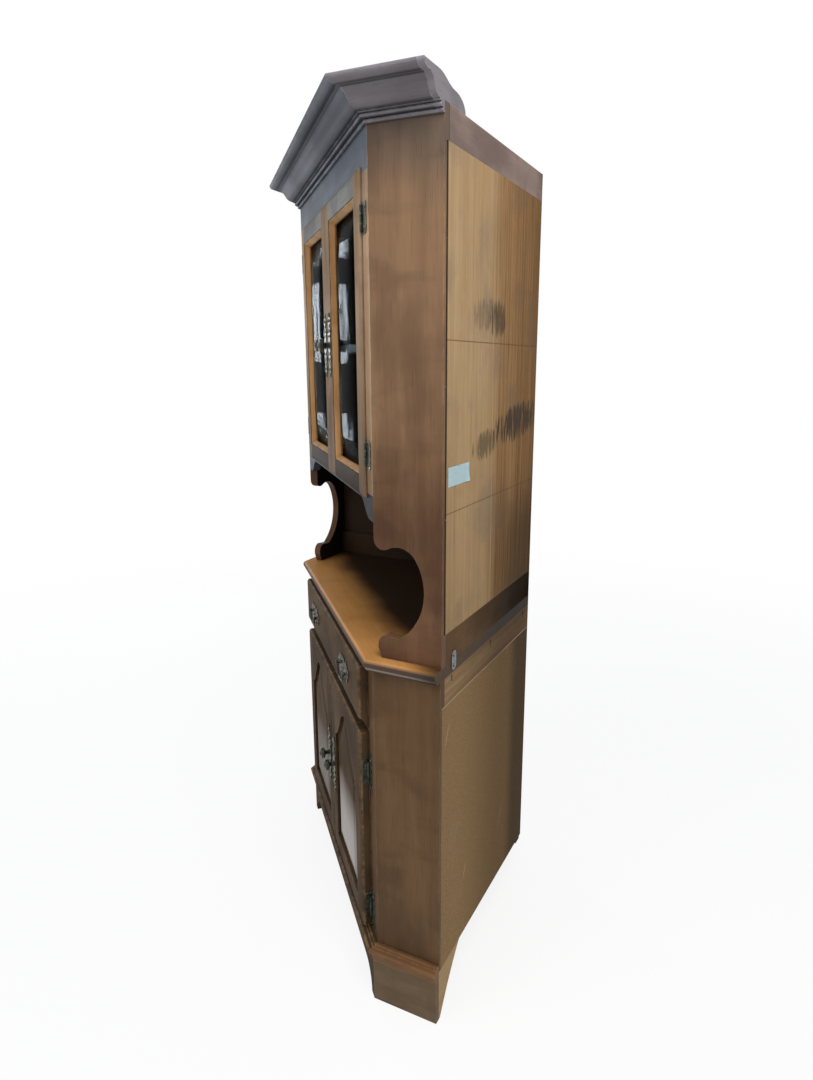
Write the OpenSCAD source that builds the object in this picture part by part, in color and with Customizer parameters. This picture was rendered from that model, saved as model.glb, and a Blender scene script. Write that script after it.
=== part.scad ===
// Corner china cabinet: a glazed upper cabinet standing on a base with a drawer and two doors.
// The plan is a square corner cut off at the back, with two short sides square to the walls
// and a wide front between them. Lengths are millimetres and angles are degrees.

/* [Plan] */
// Width of the base front between its two corners
front_w = 742; // [680:1:800]
// Width of each base side, measured square to the wall
wing_w = 147; // [130:1:170]
// Depth from the base front to the flat back corner
back_depth = 462; // [440:1:485]
// Width of the upper front between its two corners
hutch_front_w = 736; // [690:1:738]
// How far the upper front stands behind the base front
hutch_setback = 6; // [2:0.5:12]

/* [Boards] */
// Thickness of the solid boards
board_t = 19; // [17:0.5:21]
// Thickness of the plywood and hardboard backs
back_t = 5; // [3:0.5:6]
// Thickness of the shelves
shelf_t = 16; // [13:0.5:18]
// Width of the wing edge left outside the back panel
rabbet_edge = 8; // [6:0.5:10]
// Open groove between the upper back panel and the wing edge
hutch_groove = 5; // [1:0.5:7]

/* [Base heights] */
// Height of the base under the counter
base_h = 781; // [740:1:820]
// Height of the top rail over the drawer opening
top_rail_h = 23; // [20:1:34]
// Height of the drawer opening
drawer_open_h = 120; // [100:1:128]
// Height of the rail between drawer and doors
mid_rail_h = 31; // [26:1:50]
// Height of the base floor above the ground
base_floor_z = 154; // [148:1:165]
// Height of the shelf behind the lower doors
base_shelf_z = 376; // [300:1:480]
// How far the base shelf stands back from the frame
base_shelf_back = 70; // [40:1:120]
// Underside of the frame, wings and bottom rail
frame_z = 60; // [54:1:70]
// Bottom edge of the lower side backs
back_z = 121; // [112:1:128]
// Bottom edge of the base corner board
corner_board_z = 103; // [96:1:112]
// Height of the dark rails behind the counter
base_back_rail_h = 58; // [48:1:66]
// Width of each base frame stile
base_stile_w = 60; // [50:1:70]

/* [Feet and base moulding] */
// Thickness of the plinth boards
plinth_t = 12.4; // [10:0.2:15]
// Height of the plinth boards
plinth_h = 100; // [90:1:106]
// Height of the moulding on top of the plinth
base_mould_h = 38; // [34:1:42]
// Reach of the moulding beyond the frame
base_mould_out = 25; // [20:0.5:28]
// Lower edge of the front skirt between its feet
skirt_z = 52; // [44:1:60]
// Width of the skirt foot beside each corner
skirt_foot_w = 16; // [10:1:30]
// Thickness of the foot boards on the wall side
foot_t = 12; // [10:0.5:15]
// Reach of the foot boards along the wall
foot_reach = 103; // [80:1:130]
// Width of the block foot at the back
rear_foot_w = 80; // [60:1:100]
// Depth of the block foot at the back
rear_foot_d = 60; // [45:1:80]

/* [Counter] */
// Thickness of the counter
counter_t = 25; // [20:0.5:30]
// Overhang of the counter at front and sides
counter_out = 22; // [17:0.5:26]

/* [Upper cabinet] */
// Height of the upper cabinet without the crown
hutch_h = 969; // [920:1:1000]
// Height of the open space above the counter up to the upper floor
niche_h = 304; // [280:1:330]
// Height of the top rails behind the crown
hutch_top_rail_h = 55; // [45:1:65]
// Height of the low rails on the counter
hutch_low_rail_h = 64; // [50:1:75]
// Height of the frieze board over the upper doors
frieze_h = 85; // [78:1:95]
// Height of the shelf behind the glass, above the counter
hutch_shelf_h = 602; // [480:1:760]
// How far the glazed shelf stands back from the frame
hutch_shelf_back = 24; // [20:1:60]
// Width of each upper frame stile
hutch_stile_w = 52.5; // [46:0.5:60]
// Drop of the valance ends below its middle
valance_drop = 34; // [20:1:44]
// Length of each dropped valance end
valance_end_w = 100; // [80:1:130]

/* [Wing cut-out] */
// Radius of the large curve of the cut-out
scroll_r = 118; // [114:1:122]
// Centre of the large curve above the counter
scroll_h = 144; // [138:1:150]
// Centre of the large curve in front of the wing edge
scroll_in = 11; // [9:0.5:14]
// Radius of the upper cove of the cut-out
cove_r = 44; // [38:1:50]
// Radius of the two rounded noses
nose_r = 20; // [16:0.5:22]

/* [Crown] */
// Height of the crown moulding
crown_h = 56; // [48:1:64]
// Reach of the crown moulding
crown_out = 72.5; // [64:0.5:80]
// How far the crown covers the top of the frieze
crown_lap = 18; // [14:1:24]
// Thickness of the shaped boards at the crown ends
crown_end_t = 12; // [9:0.5:15]
// Reach of the crown end boards along the wall
crown_end_reach = 81; // [60:1:110]

/* [Upper doors] */
// Thickness of the upper door frames
glass_door_t = 22; // [20:0.5:24]
// How far the upper door lip stands in front of the frame
lip_t = 7; // [6:0.5:9]
// Width of the rounded border of the upper door lip
lip_round_w = 9.5; // [5:0.5:12]
// Width of the upper door stiles and rails
glass_stile_w = 40; // [34:1:48]
// Thickness of the glass
glass_t = 3; // [2.5:0.5:4]
// Height of the bulge of the glass
glass_bulge = 13; // [8:1:16]
// Width of the bead round the glass
bead_w = 8; // [6:0.5:10]

/* [Lower doors and drawer] */
// Thickness of the lower doors and the drawer front
door_t = 22; // [19:0.5:24]
// Lap of doors and drawer front over the frame
lap = 10; // [8:0.5:12]
// Width of the rounded border of the lower doors and the drawer front
front_round_w = 9; // [5:0.5:10]
// Depth of that rounded border
front_round_d = 7; // [4:0.5:8]
// Height of the bevel under the drawer front
front_bevel_h = 22; // [12:1:26]
// Width of the lower door stiles
door_stile_w = 48; // [42:1:56]
// Height of the lower door top rail at the top of the arch
door_rail_h = 40; // [36:1:56]
// Rise of the arch of the panel
arch_rise = 97; // [60:1:130]
// Width of the sloping border of the raised panel
panel_bevel = 36; // [24:1:42]
// Thickness of the drawer sides and back
drawer_side_t = 12; // [10:0.5:14]
// Depth of the drawer box behind the front
drawer_depth = 228; // [190:1:236]

/* [Hardware] */
// Height of the upper door pull plates
upper_plate_h = 140; // [120:1:160]
// Height of the lower door pull plates
lower_plate_h = 156; // [130:1:170]
// Width of the door pull plates
plate_w = 34; // [30:1:36]
// Thickness of plates and hinge leaves
plate_t = 1.8; // [1.2:0.2:2.4]
// Diameter of the knobs
knob_d = 28; // [24:1:34]
// Reach of the knobs in front of the door
knob_reach = 26; // [20:1:32]
// Distance of each drawer pull from the middle
pull_x = 185; // [150:1:210]
// Distance between the two posts of a drawer pull
pull_pitch = 70; // [64:1:90]
// Drop of the bail below its posts
bail_drop = 24; // [22:1:32]
// Distance of the upper hinges from the door ends
upper_hinge_in = 84; // [60:1:120]
// Distance of the upper hinge of a lower door from the door top
lower_hinge_top = 89; // [70:1:110]
// Distance of its other hinge from the door bottom
lower_hinge_bottom = 52; // [50:1:90]

/* [Hidden] */
$fn = 48;

// Colours of the stained wood, the bare backs, the glass and the metal
maple = "#6b4526";
dark_maple = "#4a3122";
counter_maple = "#94602c";
crown_maple = "#544842";
bare_wood = "#a98a62";
glass_tint = [0.72, 0.82, 0.86, 0.35];
old_brass = "#5c5a48";
zinc = "#b9bcc0";

// Clearances of the fits
seat = 0.3;        // moving part beside the part that it closes on
joint_gap = 0.1;   // glued joint between two door members
slide_gap = 1;     // drawer box beside its opening
door_gap = 1;      // half of the gap between two doors
pin_clear = 0.05;  // radial clearance of a pin in its hole
eps = 1;           // overshoot of a cutting solid

// Plan geometry: the right wall is the plane where x + y equals wall_c
root2 = sqrt(2);
mitre = tan(22.5);
half_b = front_w / 2;
half_h = hutch_front_w / 2;
wall_c = half_b + wing_w * root2;
wing_h = (wall_c - half_h - hutch_setback) / root2;
chamfer_x = wall_c - back_depth;
wall_x_b = half_b + wing_w / root2;
wall_x_h = half_h + wing_h / root2;
wall_len_b = (wall_x_b - chamfer_x) * root2;
wall_len_h = (wall_x_h - chamfer_x) * root2;
mid_y = (hutch_setback - crown_out + back_depth) / 2;

// Heights worked out from the driving sizes
counter_z = base_h + counter_t;
drawer_open_z1 = base_h - top_rail_h;
drawer_open_z0 = drawer_open_z1 - drawer_open_h;
door_open_z1 = drawer_open_z0 - mid_rail_h;
base_back_rail_z = base_h - base_back_rail_h;
moulding_z1 = plinth_h + base_mould_h;
hutch_z1 = counter_z + hutch_h;
low_rail_z1 = counter_z + hutch_low_rail_h;
hutch_floor_z0 = counter_z + niche_h;
hutch_floor_z1 = hutch_floor_z0 + shelf_t;
top_rail_z0 = hutch_z1 - hutch_top_rail_h;
frieze_z0 = hutch_z1 - frieze_h;
crown_z0 = hutch_z1 - crown_lap;
crown_z1 = crown_z0 + crown_h;

// Openings of the two face frames
base_open = half_b - base_stile_w;
hutch_open = half_h - hutch_stile_w;

// Doors and drawer front
upper_w = hutch_open + lap - door_gap;
upper_z0 = hutch_floor_z1 - lap;
upper_z1 = frieze_z0 + lap;
upper_face_y = hutch_setback - lip_t;
lower_w = base_open + lap - door_gap;
lower_z0 = base_floor_z - lap;
lower_z1 = door_open_z1 + lap;
front_z0 = drawer_open_z0 - lap;
front_z1 = drawer_open_z1 + lap;
edge_r = 5;

// Glass and its seat in the upper doors
glass_seat_y = glass_door_t - 6;
glass_rabbet = 7;
glass_steps_x = 12;
glass_steps_z = 22;

// Lower door panel
arch_steps = 24;
groove_d = 8;
tongue_t = 5;
tongue_back = 8;

// Hinge barrels
barrel_r = 3;
pin_r = 1.5;
pivot_out = 4.6;
upper_pivot_x = hutch_open + lap + pivot_out;
upper_pivot_y = hutch_setback - 3.6;
lower_pivot_x = base_open + lap + pivot_out;
lower_pivot_y = -3.8;
knuckle_h = 15;
knuckle_gap = 0.3;
upper_leaf_w = 27;
upper_leaf_h = 52;
lower_leaf_w = 20;
lower_leaf_h = 96;
wrap_h = 62;

// Door pulls
upper_pull_x = 24;
lower_pull_x = door_gap + door_stile_w - 2 - plate_w / 2;
shank_r = 4;
knob_neck_r = 5;
upper_pull_z = (upper_z0 + upper_z1) / 2 - 2;
lower_pull_z = (lower_z0 + lower_z1) / 2 + 2;

// Drawer pulls
pull_z = (front_z0 + front_bevel_h + front_z1) / 2;
post_r = 4;
post_reach = 11;
bail_r = 2.5;
bail_corner_r = 14;
bail_y = -door_t - seat - plate_t - post_reach + post_r;
bail_arm_x = pull_pitch / 2 - post_r - bail_r - 0.6;

// Points along an oval arc with half widths rx and ry, from angle a0 to angle a1
function oval(cx, cy, rx, ry, a0, a1, n) =
    [for (i = [0 : n]) let (a = a0 + (a1 - a0) * i / n) [cx + rx * cos(a), cy + ry * sin(a)]];

// Points along an arc, first at angle a0 and last at angle a1
function arc(cx, cy, r, a0, a1, n) = oval(cx, cy, r, r, a0, a1, n);

// Six-sided plan inset from the front, the wings, the walls and the flat back corner
function plan(half, y0, front_in, wing_in, wall_in, back_in) =
    let (d = half - y0 - wing_in * root2, w = wall_c - wall_in * root2, y3 = back_depth - back_in)
    let (x1 = y0 + front_in + d, x2 = (w + d) / 2, y2 = (w - d) / 2, x3 = w - y3)
    [[-x1, y0 + front_in], [x1, y0 + front_in], [x2, y2], [x3, y3], [-x3, y3], [-x2, y2]];

// The finished object stands with the middle of its outer box on the origin
module at_centre() translate([0, -mid_y, 0]) children();

// Right side for s above zero, otherwise its mirror image on the left
module side(s) mirror([s > 0 ? 0 : 1, 0, 0]) children();

// Frame with x along the right wing towards the wall and y into the cabinet
module along_wing(half, y0) translate([half, y0, 0]) rotate([0, 0, 45]) children();

// Frame with x along the right wall from the wing to the back and y into the cabinet
module along_wall(wx) translate([wx, wall_c - wx, 0]) rotate([0, 0, 135]) children();

// Stands a flat outline upright, with its thickness running in y from 0
module upright(t) rotate([90, 0, 0]) translate([0, 0, -t]) linear_extrude(t) children();

// Runs a profile of y and z along x
module run(x0, x1) translate([x0, 0, 0]) rotate([90, 0, 90]) linear_extrude(x1 - x0) children();

// Board between two heights over a flat plan
module slab(z0, z1) translate([0, 0, z0]) linear_extrude(z1 - z0) children();

module box(x0, x1, y0, y1, z0, z1) translate([x0, y0, z0]) cube([x1 - x0, y1 - y0, z1 - z0]);

// Carcass of the base

module wing_plan(l) polygon([[0, 0], [l, 0], [l, board_t], [board_t * mitre, board_t]]);

module base_wing(s) color(maple) at_centre() side(s) along_wing(half_b, 0) difference() {
    slab(frame_z, base_h) wing_plan(wing_w);
    box(wing_w - back_t, wing_w + eps, rabbet_edge, board_t + eps, back_z, base_back_rail_z);
    box(wing_w - foot_t, wing_w + eps, -eps, board_t + eps, frame_z - eps, back_z);
}

module stile_plan(half, y0, w) polygon([[half, y0], [half - board_t * mitre, y0 + board_t],
    [half - w, y0 + board_t], [half - w, y0]]);

module base_stiles() color(maple) at_centre() for (s = [-1, 1])
    side(s) slab(frame_z, base_h) stile_plan(half_b, 0, base_stile_w);

module base_rails() color(maple) at_centre() {
    box(-base_open, base_open, 0, board_t, drawer_open_z1, base_h);
    box(-base_open, base_open, 0, board_t, door_open_z1, drawer_open_z0);
    box(-base_open, base_open, 0, board_t, frame_z, base_floor_z);
}

module base_floor() color(bare_wood) at_centre() slab(base_floor_z - board_t, base_floor_z)
    polygon(plan(half_b, 0, board_t, board_t, back_t, board_t));

module base_shelf() color(bare_wood) at_centre() slab(base_shelf_z - shelf_t, base_shelf_z)
    polygon(plan(half_b, 0, board_t + base_shelf_back, board_t, back_t, board_t));

// Ledge and guide under each side of the drawer, cut to the slope of the back
runner_ledge = 20;
runner_h = 18;
module runner_plan(x0, x1) polygon([[x0, board_t], [x1, board_t],
    [x1, wall_c - back_t * root2 - x1], [x0, wall_c - back_t * root2 - x0]]);

module drawer_runners() color(bare_wood) at_centre() for (s = [-1, 1]) side(s) {
    slab(drawer_open_z0 - runner_h, drawer_open_z0)
        runner_plan(base_open - runner_ledge, base_open + board_t);
    slab(drawer_open_z0 - eps, drawer_open_z0 + runner_h) runner_plan(base_open, base_open + board_t);
}

module base_side_back(s) color(bare_wood) at_centre() side(s) along_wall(wall_x_b)
    box(rabbet_edge + seat, wall_len_b, 0, back_t, back_z, base_back_rail_z);

// Upright board across the flat back corner, notched where the rails lap over it
module back_board_plan(wall_in) polygon([
    for (p = plan(half_b, 0, 0, 0, wall_in, 0)) if (p[1] > back_depth - eps) p,
    for (p = plan(half_b, 0, 0, 0, wall_in, board_t)) if (p[1] > back_depth - board_t - eps && p[0] < 0) p,
    for (p = plan(half_b, 0, 0, 0, wall_in, board_t)) if (p[1] > back_depth - board_t - eps && p[0] > 0) p
]);

module base_back_board() color(dark_maple) at_centre() {
    slab(corner_board_z, base_back_rail_z) back_board_plan(back_t);
    slab(base_back_rail_z - eps, base_h) back_board_plan(board_t);
}

// Slanting screw pockets in the outer face of a base back rail
pocket_r = 4.8;
pocket_tilt = 15;
pocket_places = [0.1, 0.5, 0.92];
module screw_pocket() translate([0, -eps, base_h - 24])
    rotate([-pocket_tilt, 0, 0]) translate([0, 0, -40]) cylinder(r = pocket_r, h = 60);

module base_back_rails() color(dark_maple) at_centre() for (s = [-1, 1])
    side(s) along_wall(wall_x_b) difference() {
        box(board_t, wall_len_b, 0, board_t, base_back_rail_z, base_h);
        for (f = pocket_places) translate([wall_len_b * f, 0, 0]) screw_pocket();
    }

// Moulded edges

// Counter edge as outward reach and depth below the top: a round nose, a fine groove and a cove
nose_top_r = 9;        // radius at the top of the nose
nose_low_r = 3;        // radius under the nose
nose_depth = 15;       // depth of the nose below the counter top
groove_in = 6.5;       // reach lost in the fine groove
groove_h = 1.5;        // height of the fine groove
low_bead_in = 4.5;     // reach lost at the top of the lower bead
counter_edge_in = 10;  // reach lost at the underside
counter_edge = concat(
    [for (p = arc(counter_out - nose_top_r, -nose_top_r, nose_top_r, 90, 0, 9)) [p[0], -p[1]]],
    [for (p = arc(counter_out - nose_low_r, nose_low_r - nose_depth, nose_low_r, 0, -90, 5)) [p[0], -p[1]]],
    [[counter_out - groove_in, nose_depth], [counter_out - groove_in, nose_depth + groove_h]],
    [for (p = oval(counter_out - counter_edge_in, -nose_depth - groove_h, counter_edge_in - low_bead_in,
        counter_t - nose_depth - groove_h, 0, -90, 6)) [p[0], -p[1]]]);

// Waste outside the moulded counter edge, as a profile of y and z
module counter_waste() polygon(concat([[-counter_out - eps, counter_z + eps],
    [nose_top_r - counter_out, counter_z + eps]],
    [for (p = counter_edge) [-p[0], counter_z - p[1]]],
    [[counter_edge_in - counter_out, base_h - eps], [-counter_out - eps, base_h - eps]]));

module countertop() color(counter_maple) at_centre() difference() {
    slab(base_h, counter_z) polygon(plan(half_b, 0, -counter_out, -counter_out, 0, 0));
    run(-front_w, front_w) counter_waste();
    for (s = [-1, 1]) side(s) along_wing(half_b, 0) run(-front_w, front_w) counter_waste();
}

// Base moulding profile as outward reach and height above the plinth
mould_nose = 5;
base_mould_profile = concat([[0, 0], [plinth_t, 0], [plinth_t + 2, 6]],
    arc(base_mould_out - mould_nose - 6, base_mould_h - 10 - mould_nose, 6, -60, 0, 5),
    arc(base_mould_out - mould_nose, base_mould_h - 9, mould_nose, -60, 90, 9),
    [[base_mould_out - 11, base_mould_h - 4], [base_mould_out - 12, base_mould_h - 2.5],
    [base_mould_out - 16, base_mould_h - 2.5], [base_mould_out - 18, base_mould_h],
    [0, base_mould_h]]);

// Profile points turned to y and z at a given height
module profile_at(pts, z0) polygon([for (p = pts) [-p[0], z0 + p[1]]]);

// Front length of a moulding, mitred at both corners
module moulding_front(half, y0, reach, pts, z0, h) translate([0, y0, 0]) intersection() {
    run(-half - reach, half + reach) profile_at(pts, z0);
    slab(z0 - eps, z0 + h + eps) polygon([[-half, 0], [half, 0],
        [half + (reach + eps) * mitre, -reach - eps], [-half - (reach + eps) * mitre, -reach - eps]]);
}

// Wing length of a moulding, mitred at the front corner and square at the wall
module moulding_side(l, reach, pts, z0, h) intersection() {
    run(-reach, l) profile_at(pts, z0);
    slab(z0 - eps, z0 + h + eps) polygon([[0, 0], [l, 0], [l, -reach - eps],
        [-(reach + eps) * mitre, -reach - eps]]);
}

module base_moulding_front() color(maple) at_centre()
    moulding_front(half_b, 0, base_mould_out, base_mould_profile, plinth_h, base_mould_h);

module base_moulding_sides() color(maple) at_centre() for (s = [-1, 1]) side(s)
    along_wing(half_b, 0)
        moulding_side(wing_w, base_mould_out, base_mould_profile, plinth_h, base_mould_h);

// Plinth and feet

plinth_profile = [[0, 0], [plinth_t, 0], [plinth_t, 1], [plinth_t, plinth_h], [0, plinth_h]];

module base_plinths() color(maple) at_centre() for (s = [-1, 1]) side(s) along_wing(half_b, 0)
    moulding_side(wing_w, plinth_t, plinth_profile, 0, plinth_h);

// Skirt with a curved foot at each corner
module skirt_outline() difference() {
    translate([-half_b - plinth_t, 0]) square([2 * (half_b + plinth_t), plinth_h]);
    polygon(concat([[-skirt_in, -eps], [skirt_in, -eps]],
        [for (p = arc(skirt_in - skirt_z, 0, skirt_z, 0, 90, 10)) p],
        [for (p = arc(skirt_z - skirt_in, 0, skirt_z, 90, 180, 10)) p]));
}
skirt_in = half_b - skirt_foot_w;

module front_skirt() color(maple) at_centre() translate([0, -plinth_t, 0]) intersection() {
    upright(plinth_t) skirt_outline();
    slab(-eps, plinth_h + eps) polygon([[-half_b - plinth_t * mitre, 0],
        [half_b + plinth_t * mitre, 0], [half_b, plinth_t], [-half_b, plinth_t]]);
}

// Wall side foot board with a hollow slope from the floor up to the back panel
foot_hollow = 8;
module foot_outline() polygon(concat([[0, back_z], [0, 0], [6, 0]],
    [for (i = [1 : 9]) let (f = i / 10)
        [6 + (foot_reach - 6) * f, back_z * f + foot_hollow * sin(180 * f)]],
    [[foot_reach, back_z]]));

module foot_returns() color(bare_wood) at_centre() for (s = [-1, 1]) side(s)
    along_wall(wall_x_b) upright(foot_t) foot_outline();

module rear_foot() color(dark_maple) at_centre() box(-rear_foot_w / 2, rear_foot_w / 2,
    back_depth - board_t - rear_foot_d, back_depth - board_t, 0, base_floor_z - board_t);

// Carcass of the upper cabinet

// Cut-out of the wing: lower nose, large curve, cove and upper nose, each tangent to the next
cove_turn = 32;
cove_x = -scroll_in + (scroll_r - cove_r) * cos(cove_turn);
cove_z = scroll_h + (scroll_r - cove_r) * sin(cove_turn);
nose_turn = acos((nose_r - cove_x) / (cove_r + nose_r));
nose_z = cove_z + (cove_r + nose_r) * sin(nose_turn);
foot_nose_x = 27;
foot_nose_z = 28;
foot_undercut = 15;
scroll_end = -57;
scroll_points = concat([[foot_undercut, 0], [foot_nose_x - nose_r, nose_r]],
    arc(foot_nose_x, foot_nose_z, nose_r, 180, 72, 10),
    arc(-scroll_in, scroll_h, scroll_r, scroll_end, cove_turn, 20),
    arc(cove_x, cove_z, cove_r, cove_turn + 6, nose_turn, 12),
    arc(nose_r, nose_z, nose_r, nose_turn + 180 - 6, 180, 9));

module hutch_wing_outline() polygon(concat([for (p = scroll_points) [p[0], counter_z + p[1]]],
    [[0, hutch_z1], [wing_h, hutch_z1], [wing_h, counter_z]]));

module hutch_wing(s) color(maple) at_centre() side(s) along_wing(half_h, hutch_setback)
    difference() {
        intersection() {
            upright(board_t) hutch_wing_outline();
            slab(counter_z - eps, hutch_z1 + eps) wing_plan(wing_h);
        }
        box(wing_h - back_t, wing_h + eps, rabbet_edge, board_t + eps, low_rail_z1, top_rail_z0);
    }

module hutch_stiles() color(maple) at_centre() for (s = [-1, 1])
    side(s) slab(hutch_floor_z1, frieze_z0) stile_plan(half_h, hutch_setback, hutch_stile_w);

// Full-width front board with both ends mitred to the wings
module hutch_front_plan() polygon([[-half_h, hutch_setback], [half_h, hutch_setback],
    [half_h - board_t * mitre, hutch_setback + board_t],
    [-half_h + board_t * mitre, hutch_setback + board_t]]);

module hutch_frieze() color(maple) at_centre() slab(frieze_z0, hutch_z1) hutch_front_plan();

// Valance outline: straight in the middle, with an ogee down to each end
valance_flat = 33;
valance_in = half_h - valance_end_w;
valance_curve = [for (i = [0 : 12]) let (f = i / 12)
    [valance_in + (valance_end_w - valance_flat) * f,
    hutch_floor_z0 - valance_drop * (1 - cos(180 * f)) / 2]];
module valance_outline() polygon(concat(
    [[-half_h, hutch_floor_z1], [-half_h, hutch_floor_z0 - valance_drop]],
    [for (i = [12 : -1 : 0]) [-valance_curve[i][0], valance_curve[i][1]]],
    valance_curve,
    [[half_h, hutch_floor_z0 - valance_drop], [half_h, hutch_floor_z1]]));

module hutch_valance() color(maple) at_centre() intersection() {
    translate([0, hutch_setback, 0]) upright(board_t) valance_outline();
    slab(counter_z, hutch_z1) hutch_front_plan();
}

module hutch_shelf_at(z1, front_in) slab(z1 - shelf_t, z1)
    polygon(plan(half_h, hutch_setback, board_t + front_in, board_t, back_t, board_t));

module hutch_floor() color(dark_maple) at_centre() hutch_shelf_at(hutch_floor_z1, 0);

module hutch_shelf() color(dark_maple) at_centre()
    hutch_shelf_at(counter_z + hutch_shelf_h, hutch_shelf_back);

module hutch_top() color(dark_maple) at_centre() hutch_shelf_at(top_rail_z0, 0);

module hutch_side_back(s) color(bare_wood) at_centre() side(s) along_wall(wall_x_h)
    box(rabbet_edge + hutch_groove, wall_len_h, 0, back_t, low_rail_z1, top_rail_z0);

module hutch_back_board() color(dark_maple) at_centre() {
    slab(counter_z, low_rail_z1 + eps) back_board_plan(board_t);
    slab(low_rail_z1, top_rail_z0) back_board_plan(back_t);
    slab(top_rail_z0 - eps, hutch_z1) back_board_plan(board_t);
}

module hutch_back_rails() color(dark_maple) at_centre() for (s = [-1, 1])
    side(s) along_wall(wall_x_h) {
        box(board_t, wall_len_h, 0, board_t, counter_z, low_rail_z1);
        box(board_t, wall_len_h, 0, board_t, top_rail_z0, hutch_z1);
    }

// Crown

// Face of the crown as outward reach and height: two beads, a long curve, a fine step and a round top
bead_r = 3.5;            // radius of each bead
bead_centres = [[3, 3.2], [9.5, 10]];
curve_start = [20, 16.5];
soffit_reach = 16;       // reach of the upright step below the long curve
ovolo_w = 19;            // reach of the round top
ovolo_h = 10;            // height of the round top
top_band = 2;            // straight band above it
ovolo_reach = crown_out - ovolo_w;
ovolo_z = crown_h - top_band - ovolo_h;
step_down = 1.5;         // drop from the long curve to the round top
curve_end = [ovolo_reach - 1, ovolo_z + step_down];
curve_sway = 18;         // divisor of the sideways swing of the long curve
crown_face = concat([[0, 0]],
    arc(bead_centres[0][0], bead_centres[0][1], bead_r, -65, 80, 6),
    arc(bead_centres[1][0], bead_centres[1][1], bead_r, -65, 80, 6),
    [[soffit_reach, curve_start[1] - 2.5], [soffit_reach, curve_start[1]]],
    [for (i = [0 : 12]) let (f = i / 12, w = sin(360 * f) / curve_sway)
        [curve_start[0] + (curve_end[0] - curve_start[0]) * (f + w),
        curve_start[1] + (curve_end[1] - curve_start[1]) * (f - w)]],
    [[ovolo_reach, ovolo_z + step_down]],
    oval(ovolo_reach, crown_h - top_band, ovolo_w, ovolo_h, -90, 0, 8),
    [[crown_out, crown_h]]);
crown_profile = concat(crown_face, [[crown_out - 18, crown_h], [0, crown_lap]]);

module crown_front() color(crown_maple) at_centre()
    moulding_front(half_h, hutch_setback, crown_out, crown_profile, crown_z0, crown_h);

module crown_sides() color(crown_maple) at_centre() for (s = [-1, 1]) side(s)
    along_wing(half_h, hutch_setback)
        moulding_side(wing_h - crown_end_t, crown_out, crown_profile, crown_z0, crown_h);

// End board: the crown face in front, and an ogee that falls to the top rail behind
end_flat = 18;
end_ogee_h = 13;
end_ogee_reach = crown_end_reach * 0.45;
module crown_end_outline() polygon(concat(
    [for (p = crown_face) [-p[0], crown_z0 + p[1]]],
    [[-end_flat, crown_z1]],
    [for (i = [1 : 8]) let (f = i / 8)
        [-end_flat + (end_ogee_reach + end_flat) * f, crown_z1 - end_ogee_h * (1 - cos(180 * f)) / 2]],
    [for (i = [1 : 8]) let (a = 90 * i / 8)
        [end_ogee_reach + (crown_end_reach - end_ogee_reach) * sin(a),
        hutch_z1 + (crown_z1 - end_ogee_h - hutch_z1) * cos(a)]],
    [[0, hutch_z1]]));

module crown_ends() color(crown_maple) at_centre() for (s = [-1, 1]) side(s)
    along_wall(wall_x_h) upright(crown_end_t) crown_end_outline();

// Steel plates with round ends that tie the two cabinets together at the back
strap_w = 19;
strap_h = 40;
strap_x = 48;
strap_t = 2;
strap_hole_r = 2.4;
strap_hole_z = 11;
module strap_outline() difference() {
    union() {
        square([strap_w, strap_h - strap_w], center = true);
        for (k = [-1, 1]) translate([0, k * (strap_h - strap_w) / 2]) circle(r = strap_w / 2);
    }
    for (k = [-1, 1]) translate([0, k * strap_hole_z]) circle(r = strap_hole_r);
}

module mending_plates() color(zinc) at_centre() for (s = [-1, 1]) side(s) along_wall(wall_x_b)
    translate([strap_x + strap_w / 2, -strap_t, counter_z]) upright(strap_t) strap_outline();

// Hinges

// Barrel pieces stand on a vertical pivot, with the middle knuckle turning on the pin
module hinge_pin_side() {
    cylinder(r = pin_r, h = 3 * knuckle_h + 2 * knuckle_gap, center = true);
    for (k = [-1, 1]) translate([0, 0, k * (knuckle_h + knuckle_gap)])
        cylinder(r = barrel_r, h = knuckle_h, center = true);
}

module knuckle_bore() cylinder(r = pin_r + pin_clear, h = knuckle_h + 2 * eps, center = true);

// Clear space round the turning knuckle
module knuckle_room() translate([-pivot_out, -pivot_out, -knuckle_h / 2 - knuckle_gap])
    cube([pivot_out + barrel_r + 0.6, 2 * pivot_out + barrel_r, knuckle_h + 2 * knuckle_gap]);

// Leaf with rounded ends, standing against the frame in the plane y from y1 - plate_t to y1
module frame_leaf(w, h, y1) difference() {
    translate([0, y1 - plate_t, 0]) upright(plate_t) hull() {
        translate([0, -h / 2]) square([w / 2, h]);
        for (k = [-1, 1]) translate([w - 6, k * (h / 2 - 6)]) circle(r = 6);
    }
    knuckle_room();
}

// Frame leaf with a lobed outline, for the lower doors
module lobed_leaf(w, h, y1) difference() {
    translate([0, y1 - plate_t, 0]) upright(plate_t) union() {
        translate([0, -h / 4]) square([w - 4, h / 2]);
        for (k = [-1, 1]) {
            translate([w / 2, k * (h / 2 - w / 2)]) circle(r = w / 2);
            translate([w / 4, k * (h / 4 + 3)]) circle(r = w / 4 + 2);
            translate([w - 5, k * h / 7]) circle(r = 5);
        }
        translate([w - 4, 0]) circle(r = 5);
    }
    knuckle_room();
}

upper_hinge_z = [upper_z0 + upper_hinge_in, upper_z1 - upper_hinge_in];
lower_hinge_z = [lower_z0 + lower_hinge_bottom, lower_z1 - lower_hinge_top];

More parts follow.
